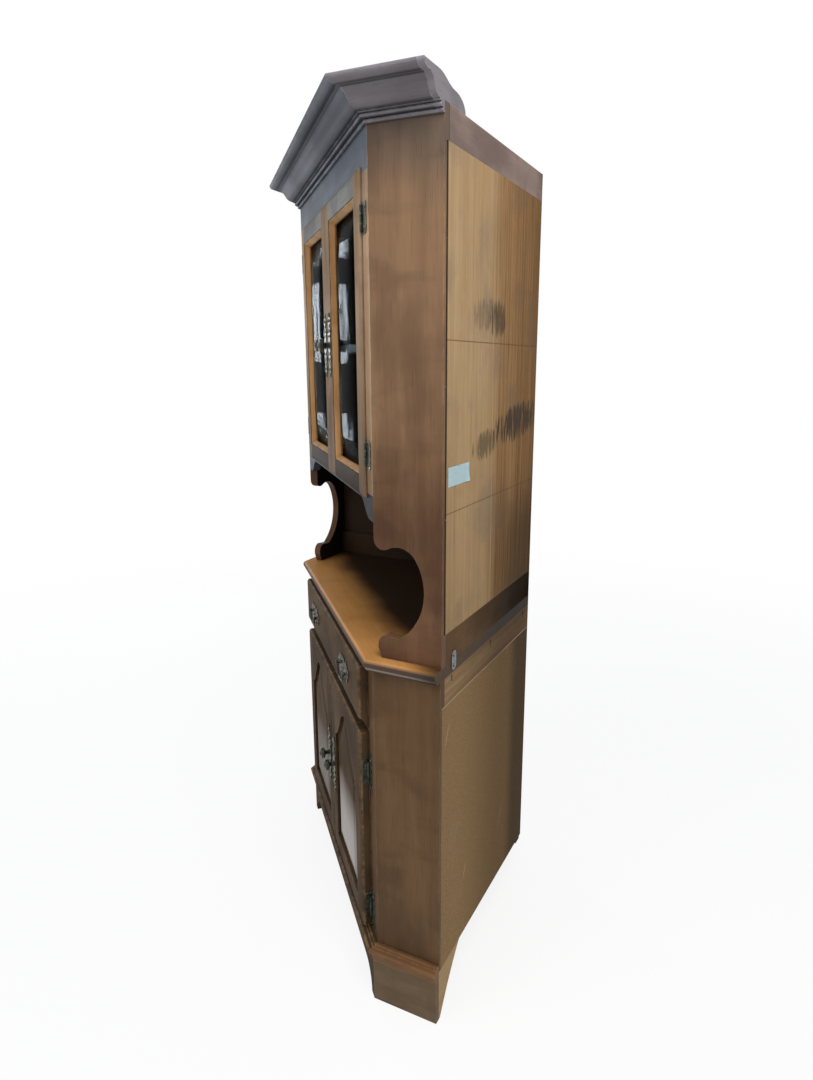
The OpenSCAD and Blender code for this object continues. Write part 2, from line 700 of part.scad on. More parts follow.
module upper_hinge_frames() color(old_brass) at_centre() for (s = [-1, 1], z = upper_hinge_z)
    side(s) translate([upper_pivot_x, upper_pivot_y, z]) union() {
        hinge_pin_side();
        frame_leaf(upper_leaf_w, upper_leaf_h, hutch_setback - upper_pivot_y);
    }

module lower_hinge_frames() color(old_brass) at_centre() for (s = [-1, 1], z = lower_hinge_z)
    side(s) translate([lower_pivot_x, lower_pivot_y, z]) union() {
        hinge_pin_side();
        lobed_leaf(lower_leaf_w, lower_leaf_h, -lower_pivot_y);
    }

// Door leaf: knuckle and web on a plate along the door edge, between two depths
module door_leaf(y0, y1, h) difference() {
    union() {
        cylinder(r = barrel_r, h = knuckle_h, center = true);
        box(-pivot_out, 0, -1, 1, -knuckle_h / 2, knuckle_h / 2);
        box(-pivot_out, -pivot_out + 1.2, y0, y1, -h / 2, h / 2);
    }
    knuckle_bore();
}

module upper_hinges(s) color(old_brass) at_centre() for (z = upper_hinge_z)
    side(s) translate([upper_pivot_x, upper_pivot_y, z])
        door_leaf(-1, hutch_setback - seat - upper_pivot_y, upper_leaf_h - 8);

module lower_hinges(s) color(old_brass) at_centre() for (z = lower_hinge_z)
    side(s) translate([lower_pivot_x, lower_pivot_y, z])
        door_leaf(-door_t - seat + front_round_d - lower_pivot_y, -1 - lower_pivot_y, wrap_h);

// Doors, drawn for the right side with x from the middle of the cabinet

// Slab with a rounded front border, its face at y = 0: w is the border's width and d its depth
module rounded_slab(x0, x1, z0, z1, t, w, d, round_x0) intersection() {
    slab(z0, z1) polygon(concat([[x0, t]],
        round_x0 ? oval(x0 + w, d, w, d, 180, 270, 6) : [[x0, 0]],
        oval(x1 - w, d, w, d, 270, 360, 6), [[x1, t]]));
    run(x0 - eps, x1 + eps) polygon(concat([[t, z0]],
        oval(d, z0 + w, d, w, 270, 180, 6),
        oval(d, z1 - w, d, w, 180, 90, 6), [[t, z1]]));
}

// Cuts a door blank into two stiles and two rails with fine joint lines
module door_joints(x0, x1, z0, z1, w, t) for (x = [x0 + w, x1 - w])
    box(x - joint_gap / 2, x + joint_gap / 2, -eps, t + eps, z0 - eps, z1 + eps);

module glass_opening(grow, y0, y1) box(door_gap + glass_stile_w - grow,
    door_gap + upper_w - glass_stile_w + grow, y0, y1,
    upper_z0 + glass_stile_w - grow, upper_z1 - glass_stile_w + grow);

module upper_frame(s) color(maple) at_centre() side(s) translate([0, upper_face_y, 0]) difference() {
    union() {
        rounded_slab(door_gap, door_gap + upper_w, upper_z0, upper_z1, lip_t - seat,
            lip_round_w, edge_r, false);
        box(door_gap, door_gap + upper_w - lap - seat, lip_t - eps - seat, glass_door_t,
            upper_z0 + lap + seat, upper_z1 - lap - seat);
    }
    glass_opening(0, -eps, glass_door_t + eps);
    glass_opening(glass_rabbet, glass_seat_y, glass_door_t + eps);
    door_joints(door_gap, door_gap + upper_w, upper_z0, upper_z1, glass_stile_w, glass_door_t);
}

// Bead of four mitred lengths that slopes from the frame down to the glass
bead_in = 2;       // front edge of the bead behind the face of the door
bead_edge = 2;     // thickness of its front edge
bead_foot_t = 4;   // thickness of the bead beside the glass
module bead_length(l) intersection() {
    run(0, l) polygon([[bead_in, 0], [glass_seat_y - seat, 0], [glass_seat_y - seat, bead_w],
        [glass_seat_y - bead_foot_t, bead_w], [bead_in + bead_edge, bead_edge * 1.5], [bead_in, bead_edge]]);
    translate([0, -eps, 0]) upright(glass_seat_y + eps) polygon([[joint_gap, 0], [l - joint_gap, 0],
        [l - joint_gap - bead_w, bead_w], [joint_gap + bead_w, bead_w]]);
}

opening_w = upper_w - 2 * glass_stile_w;
opening_h = upper_z1 - upper_z0 - 2 * glass_stile_w;
module upper_bead(s) color(counter_maple) at_centre() side(s)
    translate([door_gap + upper_w / 2, upper_face_y, (upper_z0 + upper_z1) / 2])
        for (a = [0 : 90 : 270]) rotate([0, a, 0]) {
            l = a % 180 == 0 ? opening_w : opening_h;
            d = a % 180 == 0 ? opening_h : opening_w;
            translate([-l / 2 + seat, 0, -d / 2 + seat]) bead_length(l - 2 * seat);
        }

// Glass bulge: flat at the rim, rising smoothly to the middle
glass_w = opening_w + 2 * glass_rabbet - 2 * seat;
glass_h = opening_h + 2 * glass_rabbet - 2 * seat;
function bulge(u, v) = glass_bulge * pow(sin(90 * (1 - pow(abs(u), 3))), 2)
    * pow(sin(90 * (1 - pow(abs(v), 6))), 2);
rim_clear = 0.5;   // flat rim left showing inside the bead
glass_rim_x = (opening_w / 2 - bead_w - rim_clear) / (glass_w / 2);
glass_rim_z = (opening_h / 2 - bead_w - rim_clear) / (glass_h / 2);

// Place of step i of n across the pane, from -1 to 1; the first and last step are the flat rim
function glass_place(i, n, rim) = i == 0 ? -1 : i == n ? 1 : rim * (2 * (i - 1) / (n - 2) - 1);
function glass_point(i, j, back) =
    let (u = glass_place(i, glass_steps_x, glass_rim_x), v = glass_place(j, glass_steps_z, glass_rim_z))
    let (b = bulge(min(1, abs(u) / glass_rim_x), min(1, abs(v) / glass_rim_z)))
    [u * glass_w / 2, back * glass_t - b, v * glass_h / 2];
glass_row = glass_steps_x + 1;
glass_layer = glass_row * (glass_steps_z + 1);
glass_points = [for (back = [0, 1], j = [0 : glass_steps_z], i = [0 : glass_steps_x])
    glass_point(i, j, back)];
function glass_cell(i, j, base) = let (a = base + j * glass_row + i)
    [a, a + 1, a + 1 + glass_row, a + glass_row];
glass_faces = concat(
    [for (j = [0 : glass_steps_z - 1], i = [0 : glass_steps_x - 1]) let (c = glass_cell(i, j, 0))
        each [[c[2], c[1], c[0]], [c[3], c[2], c[0]]]],
    [for (j = [0 : glass_steps_z - 1], i = [0 : glass_steps_x - 1])
        let (c = glass_cell(i, j, glass_layer)) each [[c[0], c[1], c[2]], [c[0], c[2], c[3]]]],
    [for (i = [0 : glass_steps_x - 1]) let (a = i, b = glass_steps_z * glass_row + i)
        each [[a, a + 1, a + 1 + glass_layer, a + glass_layer],
        [b + glass_layer, b + 1 + glass_layer, b + 1, b]]],
    [for (j = [0 : glass_steps_z - 1]) let (a = j * glass_row, b = a + glass_steps_x)
        each [[a + glass_layer, a + glass_row + glass_layer, a + glass_row, a],
        [b, b + glass_row, b + glass_row + glass_layer, b + glass_layer]]]);

module upper_glass(s) color(glass_tint) at_centre() side(s)
    translate([door_gap + upper_w / 2, upper_face_y + glass_seat_y, (upper_z0 + upper_z1) / 2])
        polyhedron(glass_points, glass_faces, convexity = 4);

// Outline of the arched panel opening, grown outward by g, with its top from a cosine
panel_w = lower_w - 2 * door_stile_w;
panel_z0 = lower_z0 + door_stile_w;
panel_z1 = lower_z1 - door_rail_h;
function arch_outline(g) = concat([[-panel_w / 2 - g, panel_z0 - g], [panel_w / 2 + g, panel_z0 - g]],
    [for (i = [0 : arch_steps]) let (f = 1 - 2 * i / arch_steps)
        [f * (panel_w / 2 + g), panel_z1 + g - arch_rise * (1 - cos(180 * f)) / 2]]);

module lower_frame(s) color(maple) at_centre() side(s) translate([0, -door_t - seat, 0]) difference() {
    rounded_slab(door_gap, door_gap + lower_w, lower_z0, lower_z1, door_t, front_round_w,
        front_round_d, true);
    translate([door_gap + lower_w / 2, -eps, 0]) upright(door_t + 2 * eps) polygon(arch_outline(0));
    translate([door_gap + lower_w / 2, door_t - tongue_back - tongue_t - seat, 0])
        upright(tongue_t + 2 * seat) polygon(arch_outline(groove_d));
    door_joints(door_gap, door_gap + lower_w, lower_z0, lower_z1, door_stile_w, door_t);
}

// Raised panel: a tongue in the groove and a field lifted by a sloping border
field_lift = 7;
module panel_field() {
    outer = arch_outline(-joint_gap);
    inner = arch_outline(-panel_bevel);
    n = len(outer);
    points = concat([for (p = outer) [p[0], 0, p[1]]], [for (p = outer) [p[0], -0.6, p[1]]],
        [for (p = inner) [p[0], -field_lift, p[1]]]);
    polyhedron(points, concat([[for (i = [0 : n - 1]) i]],
        [for (k = [0, 1], i = [0 : n - 1]) let (j = (i + 1) % n)
            [k * n + j, k * n + i, (k + 1) * n + i, (k + 1) * n + j]],
        [[for (i = [n - 1 : -1 : 0]) 2 * n + i]]), convexity = 6);
}

module lower_panel(s) color(maple) at_centre() side(s)
    translate([door_gap + lower_w / 2, -seat - tongue_back - tongue_t, 0]) {
        upright(tongue_t) polygon(arch_outline(groove_d - seat));
        translate([0, 0.01, 0]) panel_field();
    }

// Door pulls: a pierced plate and a turned knob on a shank

// Half-lobed plate outline, symmetric about both axes
module plate_outline(w, h) difference() {
    union() {
        square([w * 0.42, h * 0.62], center = true);
        circle(r = w / 2);
        for (k = [-1, 1]) {
            for (m = [-1, 1]) translate([m * w * 0.24, k * h * 0.24]) circle(r = w * 0.24);
            translate([0, k * h * 0.34]) circle(r = w * 0.27);
            translate([0, k * (h / 2 - w * 0.16)]) circle(r = w * 0.16);
            translate([0, k * h * 0.41]) square([w * 0.2, h * 0.1], center = true);
        }
    }
    for (k = [-1, 1]) {
        for (m = [-1, 1]) translate([m * w * 0.25, k * h * 0.23]) circle(r = w * 0.11);
        translate([0, k * h * 0.33]) circle(r = w * 0.12);
        translate([0, k * h * 0.17]) circle(r = w * 0.09);
    }
    circle(r = shank_r + pin_clear);
}

// Turned knob with its axis along -y from the plate
module knob() rotate([90, 0, 0]) rotate_extrude() polygon(concat(
    [[0, -plate_t], [shank_r, -plate_t], [shank_r, seat], [knob_neck_r + 2, seat], [knob_neck_r, 4],
    [knob_neck_r, knob_reach - 14]],
    arc(knob_d / 2 - 4, knob_reach - 8, 4, -70, 80, 8),
    [[knob_d / 4, knob_reach - 1], [0, knob_reach]]));

module pull(h) {
    translate([0, -plate_t, 0]) upright(plate_t) plate_outline(plate_w, h);
    translate([0, -plate_t, 0]) knob();
}

module upper_pull(s) color(old_brass) at_centre() side(s)
    translate([upper_pull_x, upper_face_y, upper_pull_z]) pull(upper_plate_h);

module lower_pull(s) color(old_brass) at_centre() side(s)
    translate([lower_pull_x, -door_t - seat, lower_pull_z]) pull(lower_plate_h);

// Drawer

// Front with a rounded border and a bevel below that slopes back to a narrow edge
bevel_edge = 2;
front_low_z = front_z0 + front_bevel_h;
module drawer_front() color(maple) at_centre() translate([0, -door_t - seat, 0]) {
    rounded_slab(-base_open - lap, base_open + lap, front_low_z, front_z1, door_t,
        front_round_w, front_round_d, true);
    run(-base_open - lap, base_open + lap) polygon([[front_round_d + eps, front_low_z + eps],
        [front_round_d + eps, front_low_z], [door_t - bevel_edge, front_z0], [door_t, front_z0],
        [door_t, front_low_z + eps]]);
}

drawer_half = base_open - slide_gap;
drawer_z0 = drawer_open_z0 + seat;
drawer_z1 = drawer_open_z1 - 6;
drawer_y1 = drawer_depth;
bottom_z = drawer_z0 + 8;
bottom_t = 5;
bottom_groove = 5;

module bottom_slot(grow) box(-drawer_half + drawer_side_t - bottom_groove - grow,
    drawer_half - drawer_side_t + bottom_groove + grow, -seat + joint_gap,
    drawer_y1 - drawer_side_t + bottom_groove + grow, bottom_z - grow, bottom_z + bottom_t + grow);

module drawer_box() color(bare_wood) at_centre() difference() {
    union() {
        for (s = [-1, 1]) side(s)
            box(drawer_half - drawer_side_t, drawer_half, -seat, drawer_y1, drawer_z0, drawer_z1);
        box(-drawer_half + drawer_side_t + joint_gap, drawer_half - drawer_side_t - joint_gap,
            drawer_y1 - drawer_side_t, drawer_y1, drawer_z0, drawer_z1 - 4);
    }
    bottom_slot(joint_gap);
}

module drawer_bottom() color(bare_wood) at_centre() bottom_slot(0);

// Batwing plate of a drawer pull
batwing_w = 106;
batwing_h = 52;
module batwing() difference() {
    union() {
        square([batwing_w * 0.66, batwing_h * 0.44], center = true);
        for (m = [-1, 1]) {
            translate([m * batwing_w * 0.2, batwing_h * 0.16]) circle(r = batwing_h * 0.27);
            translate([m * batwing_w * 0.2, -batwing_h * 0.2]) circle(r = batwing_h * 0.22);
            translate([m * batwing_w * 0.36, batwing_h * 0.1]) circle(r = batwing_h * 0.24);
            translate([m * batwing_w * 0.38, -batwing_h * 0.14]) circle(r = batwing_h * 0.2);
            translate([m * batwing_w * 0.44, 0]) circle(r = batwing_w * 0.06);
        }
        translate([0, batwing_h * 0.26]) circle(r = batwing_h * 0.24);
        translate([0, -batwing_h * 0.28]) circle(r = batwing_h * 0.22);
    }
    for (m = [-1, 1]) {
        translate([m * batwing_w * 0.14, batwing_h * 0.12]) circle(r = batwing_h * 0.09);
        translate([m * batwing_w * 0.14, -batwing_h * 0.14]) circle(r = batwing_h * 0.08);
        translate([m * batwing_w * 0.43, 0]) circle(r = batwing_h * 0.06);
        translate([m * pull_pitch / 2, 0]) circle(r = post_shank_r + pin_clear);
    }
    translate([0, batwing_h * 0.24]) circle(r = batwing_h * 0.1);
}
post_shank_r = 2.5;

// Post with a cross bore for the pin of the bail, its axis along -y
module bail_post() difference() {
    union() {
        rotate([90, 0, 0]) translate([0, 0, -plate_t]) cylinder(r = post_shank_r, h = plate_t + 2);
        rotate([90, 0, 0]) translate([0, 0, seat]) cylinder(r = post_r + 1.5, h = 2);
        rotate([90, 0, 0]) translate([0, 0, seat]) cylinder(r = post_r, h = post_reach - seat);
    }
    translate([0, -post_reach + post_r, 0]) rotate([0, 90, 0])
        cylinder(r = pin_r + pin_clear, h = 4 * post_r, center = true);
}

module drawer_pull_plates() color(old_brass) at_centre() for (s = [-1, 1]) side(s)
    translate([pull_x, -door_t - seat, pull_z]) {
        translate([0, -plate_t, 0]) upright(plate_t) batwing();
        for (m = [-1, 1]) translate([m * pull_pitch / 2, -plate_t, 0]) bail_post();
    }

// Bail: pins out through the posts, arms down, round corners and a bottom bar
module bail() for (m = [0, 1]) mirror([m, 0, 0]) {
    translate([bail_arm_x, 0, 0]) rotate([0, 90, 0])
        cylinder(r = pin_r, h = pull_pitch / 2 + post_r + 1 - bail_arm_x);
    translate([bail_arm_x, 0, 0]) sphere(r = bail_r);
    translate([bail_arm_x, 0, bail_corner_r - bail_drop])
        cylinder(r = bail_r, h = bail_drop - bail_corner_r);
    translate([bail_arm_x - bail_corner_r, 0, bail_corner_r - bail_drop]) rotate([90, 0, 0])
        rotate([0, 0, -90]) rotate_extrude(angle = 90) translate([bail_corner_r, 0]) circle(r = bail_r);
    translate([-eps, 0, -bail_drop]) rotate([0, 90, 0])
        cylinder(r = bail_r, h = bail_arm_x - bail_corner_r + eps);
}

module drawer_bail(s) color(old_brass) at_centre() side(s) translate([pull_x, bail_y, pull_z]) bail();

base_wing(-1);  // base_wing_left
base_wing(1);  // base_wing_right
base_stiles();
base_rails();
base_floor();
base_shelf();
drawer_runners();
base_side_back(-1);  // base_back_left
base_side_back(1);  // base_back_right
base_back_board();
base_back_rails();
countertop();
base_moulding_front();
base_moulding_sides();
base_plinths();
front_skirt();
foot_returns();
rear_foot();
hutch_wing(-1);  // hutch_wing_left
hutch_wing(1);  // hutch_wing_right
hutch_stiles();
hutch_frieze();
hutch_valance();
hutch_floor();
hutch_shelf();
hutch_top();
hutch_side_back(-1);  // hutch_back_left
hutch_side_back(1);  // hutch_back_right
hutch_back_board();
hutch_back_rails();
crown_front();
crown_sides();
crown_ends();
mending_plates();
upper_hinge_frames();
lower_hinge_frames();
upper_frame(-1);  // upper_door_left_frame
upper_frame(1);  // upper_door_right_frame
upper_glass(-1);  // upper_door_left_glass
upper_glass(1);  // upper_door_right_glass
upper_bead(-1);  // upper_door_left_bead
upper_bead(1);  // upper_door_right_bead
upper_pull(-1);  // upper_door_left_pull
upper_pull(1);  // upper_door_right_pull
upper_hinges(-1);  // upper_door_left_hinges
upper_hinges(1);  // upper_door_right_hinges
lower_frame(-1);  // lower_door_left_frame
lower_frame(1);  // lower_door_right_frame
lower_panel(-1);  // lower_door_left_panel
lower_panel(1);  // lower_door_right_panel
lower_pull(-1);  // lower_door_left_pull
lower_pull(1);  // lower_door_right_pull
lower_hinges(-1);  // lower_door_left_hinges
lower_hinges(1);  // lower_door_right_hinges
drawer_front();
drawer_box();
drawer_bottom();
drawer_pull_plates();
drawer_bail(-1);  // drawer_bail_left
drawer_bail(1);  // drawer_bail_right
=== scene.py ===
"""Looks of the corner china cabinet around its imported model.

Lengths are metres. x runs to the right seen from the front, y towards the room's corner
and z up, as in the frame.
"""
import math

import bmesh
import bpy
from mathutils import Matrix, Vector


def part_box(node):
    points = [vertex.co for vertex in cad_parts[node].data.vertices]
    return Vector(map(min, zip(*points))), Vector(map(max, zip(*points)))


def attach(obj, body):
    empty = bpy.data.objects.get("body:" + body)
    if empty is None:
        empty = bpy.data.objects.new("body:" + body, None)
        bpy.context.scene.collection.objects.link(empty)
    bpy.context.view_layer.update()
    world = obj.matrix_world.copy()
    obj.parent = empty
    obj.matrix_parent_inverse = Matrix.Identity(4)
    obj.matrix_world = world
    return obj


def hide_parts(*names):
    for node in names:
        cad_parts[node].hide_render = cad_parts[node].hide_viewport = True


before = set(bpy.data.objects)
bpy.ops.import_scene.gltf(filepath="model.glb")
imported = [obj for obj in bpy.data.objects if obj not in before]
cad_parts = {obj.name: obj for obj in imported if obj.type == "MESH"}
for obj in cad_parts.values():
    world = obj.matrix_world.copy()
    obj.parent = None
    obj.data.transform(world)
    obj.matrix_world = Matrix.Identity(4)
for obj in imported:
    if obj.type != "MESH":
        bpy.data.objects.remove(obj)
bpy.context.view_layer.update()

ROOT2 = math.sqrt(2)
UP = (0, 0, 1)
ACROSS = (1, 0, 0)
BACK = (0, 1, 0)
SIDES = {"left": -1, "right": 1}

# Front corner of the wall sides, seen from above: a wall side runs from it at 45 degrees
WALL_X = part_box("base_wing_right")[1].x
WALL_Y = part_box("base_back_rails")[0].y
# x less y on the outer face of the right upper wing
WING_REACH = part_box("hutch_stiles")[1].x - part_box("hutch_stiles")[0].y
COUNTER_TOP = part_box("countertop")[1].z
CROWN_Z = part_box("crown_front")[0].z
HARDBOARD_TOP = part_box("base_back_right")[1].z
# Height between the low and the top back rails of the upper cabinet
RAILS_PART_Z = 1.2


def wall_place(side, along, out, z):
    """Point on a wall side: along it from its front corner, out from its face, and up."""
    return Vector((side * (WALL_X - (along - out) / ROOT2), WALL_Y + (along + out) / ROOT2, z))


def wall_out(side):
    """Direction that a wall side faces."""
    return Vector((side, 1, 0)).normalized()


# Node graph helpers

class Graph:
    """A material's node tree with short calls for the nodes used here."""

    def __init__(self, name):
        self.mat = bpy.data.materials.new(name)
        self.mat.use_nodes = True
        self.tree = self.mat.node_tree
        self.bsdf = self.tree.nodes["Principled BSDF"]
        self.place = self.node("ShaderNodeTexCoord").outputs["Object"]

    @property
    def x_out(self):
        """Distance from the middle, to either side."""
        return self.math("ABSOLUTE", self.dot(self.place, ACROSS))

    @property
    def y(self):
        return self.dot(self.place, BACK)

    @property
    def z(self):
        return self.dot(self.place, UP)

    def node(self, kind, **props):
        made = self.tree.nodes.new(kind)
        for key, value in props.items():
            setattr(made, key, value)
        return made

    def put(self, value, socket):
        if isinstance(value, bpy.types.NodeSocket):
            self.tree.links.new(value, socket)
        else:
            socket.default_value = value

    def math(self, operation, a, b=0.0):
        made = self.node("ShaderNodeMath", operation=operation)
        self.put(a, made.inputs[0])
        self.put(b, made.inputs[1])
        return made.outputs[0]

    def plus(self, a, b):
        return self.math("ADD", a, b)

    def minus(self, a, b):
        return self.math("SUBTRACT", a, b)

    def times(self, a, b):
        return self.math("MULTIPLY", a, b)

    def over(self, a, b):
        return self.math("DIVIDE", a, b)

    def offset(self, value, middle):
        """How far a value lies from a middle."""
        return self.math("ABSOLUTE", self.minus(value, middle))

    def dot(self, vector, axis):
        made = self.node("ShaderNodeVectorMath", operation="DOT_PRODUCT")
        self.put(vector, made.inputs[0])
        made.inputs[1].default_value = axis
        return made.outputs["Value"]

    def stretch(self, vector, scale):
        made = self.node("ShaderNodeVectorMath", operation="MULTIPLY")
        self.put(vector, made.inputs[0])
        made.inputs[1].default_value = scale
        return made.outputs[0]

    def join(self, x, y, z):
        made = self.node("ShaderNodeCombineXYZ")
        for value, socket in zip((x, y, z), made.inputs):
            self.put(value, socket)
        return made.outputs[0]

    def noise(self, vector, scale, detail=4.0, rough=0.55, distort=0.0):
        """Noise of one scale, or of a scale for each axis."""
        if isinstance(scale, tuple):
            vector, scale = self.stretch(vector, scale), 1.0
        made = self.node("ShaderNodeTexNoise")
        for socket, value in (("Vector", vector), ("Scale", scale), ("Detail", detail),
                              ("Roughness", rough), ("Distortion", distort)):
            self.put(value, made.inputs[socket])
        return made.outputs["Fac"]

    def span(self, value, lo, hi, out_lo=0.0, out_hi=1.0, smooth=False):
        made = self.node("ShaderNodeMapRange", clamp=True,
                         interpolation_type="SMOOTHSTEP" if smooth else "LINEAR")
        for index, v in enumerate((value, lo, hi, out_lo, out_hi)):
            self.put(v, made.inputs[index])
        return made.outputs[0]

    def mix(self, factor, a, b, blend="MIX"):
        made = self.node("ShaderNodeMix", data_type="RGBA", blend_type=blend)
        self.put(factor, made.inputs["Factor"])
        for value, socket in ((a, made.inputs[6]), (b, made.inputs[7])):
            self.put(value if isinstance(value, bpy.types.NodeSocket) else (*value, 1.0), socket)
        return made.outputs[2]

    def pick(self, factor, a, b):
        made = self.node("ShaderNodeMix", data_type="VECTOR")
        self.put(factor, made.inputs["Factor"])
        self.put(a, made.inputs[4])
        self.put(b, made.inputs[5])
        return made.outputs[1]

    def bump(self, height, strength, distance):
        made = self.node("ShaderNodeBump")
        made.inputs["Strength"].default_value = strength
        made.inputs["Distance"].default_value = distance
        self.put(height, made.inputs["Height"])
        self.tree.links.new(made.outputs[0], self.bsdf.inputs["Normal"])

    def set(self, **values):
        for name, value in values.items():
            self.put(value, self.bsdf.inputs[name.replace("_", " ")])


def grain_frame(g, axis):
    """Coordinates with x along the grain and y and z across it.

    Grain that slants in plan is mirrored from one side of the cabinet to the other.
    """
    a = Vector(axis).normalized()
    b = a.cross(Vector(UP)) if abs(a.z) < 0.9 else Vector(ACROSS)
    b.normalize()
    place = g.join(g.x_out, g.y, g.z) if a.x and a.y else g.place
    return g.join(*(g.dot(place, v) for v in (a, b, a.cross(b))))


def worn_edge(g, radius, full=0.2):
    """1 on edges and corners that turn at least as far as full, 0 on flat faces."""
    bevel = g.node("ShaderNodeBevel", samples=4)
    bevel.inputs["Radius"].default_value = radius
    geometry = g.node("ShaderNodeNewGeometry")
    turn = g.node("ShaderNodeVectorMath", operation="DOT_PRODUCT")
    g.tree.links.new(bevel.outputs[0], turn.inputs[0])
    g.tree.links.new(geometry.outputs["Normal"], turn.inputs[1])
    return g.span(turn.outputs["Value"], 1 - full / 40, 1 - full)


def hollow(g, reach):
    """1 in grooves and inner corners, 0 on open faces."""
    near = g.node("ShaderNodeAmbientOcclusion", samples=4)
    near.inputs["Distance"].default_value = reach
    return g.span(near.outputs["AO"], 0.85, 0.35)


def wing_depth(g):
    """Distance inwards from the outer face of the nearer upper wing."""
    return g.over(g.minus(WING_REACH, g.minus(g.x_out, g.y)), ROOT2)


def wall_depth(g):
    """Distance inwards from the face of the nearer wall side."""
    return g.over(g.minus(WALL_X + WALL_Y, g.plus(g.x_out, g.y)), ROOT2)


def wall_run(g):
    """Distance along a wall side from its front corner."""
    return g.over(g.plus(g.minus(g.y, g.x_out), WALL_X - WALL_Y), ROOT2)


def tinted(g, colour, amount, tint):
    """The colour multiplied by a tint where amount is 1."""
    return g.mix(amount, colour, g.mix(1.0, colour, tint, "MULTIPLY"))


def by_height(*steps, mask=None):
    """Painted light and shade that takes on each tint between its two heights, within a mask."""
    def paint(g, colour):
        drift = g.times(g.minus(g.noise(g.place, 6.0, 3, 0.5), 0.5), 0.16)
        height = g.plus(g.z, drift)
        for z0, z1, tint in steps:
            amount = g.span(height, z0, z1, smooth=True)
            if mask is not None:
                amount = g.times(amount, mask(g))
            colour = tinted(g, colour, amount, tint)
        return colour
    return paint


def towards_corner(g, colour, run0, run1, tint):
    """The colour with painted shade that darkens it along a wall side towards the room's corner."""
    return tinted(g, colour, g.span(wall_run(g), run0, run1, smooth=True), tint)


# Woods

# How far rubbed edges with their painted highlight reach from an edge, and painted shade from an
# inner corner
WEAR_AND_HIGHLIGHT_REACH = 0.0018
HOLLOW_SHADE_REACH = 0.010
# Gloss of stained wood seen face-on
FACE_GLOSS = 0.10


def stained(name, axis, base, dark, light, rough=0.5, shine=0.10, wear_and_highlight=0.6, crisp=0.2, rub_and_highlight=1.9,
            polish=None, second=None, paints=()):
    """Stained maple under lacquer: streaks, mottled stain, fine pores, painted shade in grooves and
    inner corners, and rubbed edges that also carry a painted highlight.

    shine is the gloss at a glancing view. crisp is the turn of an edge that counts as fully
    rubbed, and rub how much paler that edge is than light. polish is two heights, the gloss that
    is reached between them, mostly on the right half, and the share of roughness left there.
    second is another grain direction with its mask and tint. paints change the colour by place.
    """
    g = Graph(name)
    along = grain_frame(g, axis)
    if second is not None:
        turned = second["mask"](g)
        along = g.pick(turned, along, grain_frame(g, second["axis"]))
    streak = g.noise(along, (1.6, 42, 42), 7, 0.62, 0.3)
    pores = g.noise(along, (16, 560, 560), 3, 0.6)
    flame = g.noise(along, (1.1, 10, 10), 4, 0.5, 1.2)
    curl = g.noise(along, (17, 7, 7), 3, 0.5, 0.4)
    glaze = g.noise(along, (3.0, 5.5, 5.5), 4, 0.55)
    colour = g.mix(g.span(streak, 0.32, 0.68), [0.5 * (a + b) for a, b in zip(dark, base)], base)
    colour = g.mix(g.span(flame, 0.47, 0.72, 0.0, 0.6), colour, light)
    colour = g.mix(g.span(glaze, 0.58, 0.36, 0.0, 0.85, True), colour, dark)
    colour = g.mix(g.span(curl, 0.50, 0.74, 0.0, 0.55, True), colour, dark)
    colour = g.mix(g.span(pores, 0.56, 0.72, 0.0, 0.4), colour, [0.45 * c for c in dark])
    # Tint on the rails: on the upper doors a painted blue-grey reflection
    if second is not None:
        colour = tinted(g, colour, turned, second["tint"])
    # Painted shade in grooves and inner corners
    colour = g.mix(g.times(hollow(g, HOLLOW_SHADE_REACH), 0.7), colour, [0.4 * c for c in dark])
    # Rubbed edges, paler than the light colour: wear together with a painted highlight
    edge = worn_edge(g, WEAR_AND_HIGHLIGHT_REACH, crisp)
    worn_and_lit = g.times(edge, g.span(g.noise(g.place, 26.0, 4, 0.7), 0.44, 0.62, 0.0, wear_and_highlight))
    colour = g.mix(worn_and_lit, colour, [min(1.0, rub_and_highlight * c) for c in light])
    for paint in paints:
        colour = paint(g, colour)
    dull = g.span(glaze, 0.3, 0.7, rough + 0.05, rough - 0.05)
    if polish is not None:
        z0, z1, level, left_rough = polish
        right_half = g.span(g.dot(g.place, ACROSS), -0.01, 0.01, 0.25, 1.0)
        polished = g.times(g.span(g.z, z0, z1, smooth=True), right_half)
        shine = g.span(polished, 0.0, 1.0, shine, level)
        dull = g.times(dull, g.span(polished, 0.0, 1.0, 1.0, left_rough))
    g.set(Base_Color=colour, Roughness=dull)
    glance = g.node("ShaderNodeLayerWeight")
    g.set(Specular_IOR_Level=g.span(glance.outputs["Facing"], 0.35, 0.70, FACE_GLOSS, shine))
    height = g.plus(g.times(pores, -0.5), g.times(streak, 0.6))
    g.bump(height, 0.10, 0.0006)
    return g.mat


def rails(x0, x1, tint=(1, 1, 1)):
    """Grain across and another tint on the rails of a door, between its stiles, on either half."""
    def mask(g):
        x = g.x_out
        return g.times(g.math("GREATER_THAN", x, x0), g.math("LESS_THAN", x, x1))
    return dict(axis=ACROSS, mask=mask, tint=tint)


# Depths from the outside at which the dark inner face begins, stain darkened further as painted
# shade: of an upper wing, of a back rail and of the veneer
WING_SKIN = 0.0175
RAIL_SKIN = 0.012
VENEER_SKIN = 0.0025
# Bands of painted shade down the counter's rounded nose: where each begins and is full below the
# top, and its colour
NOSE_BANDS = ((0.0015, 0.0035, (0.190, 0.108, 0.058)), (0.0042, 0.0062, (0.058, 0.039, 0.031)))
# Middle of the painted highlight low on the nose, below the top
NOSE_HIGHLIGHT = 0.0172
# Between which places in y the painted shadow of the upper cabinet darkens the counter
SHADE_Y = (-0.158, -0.074)
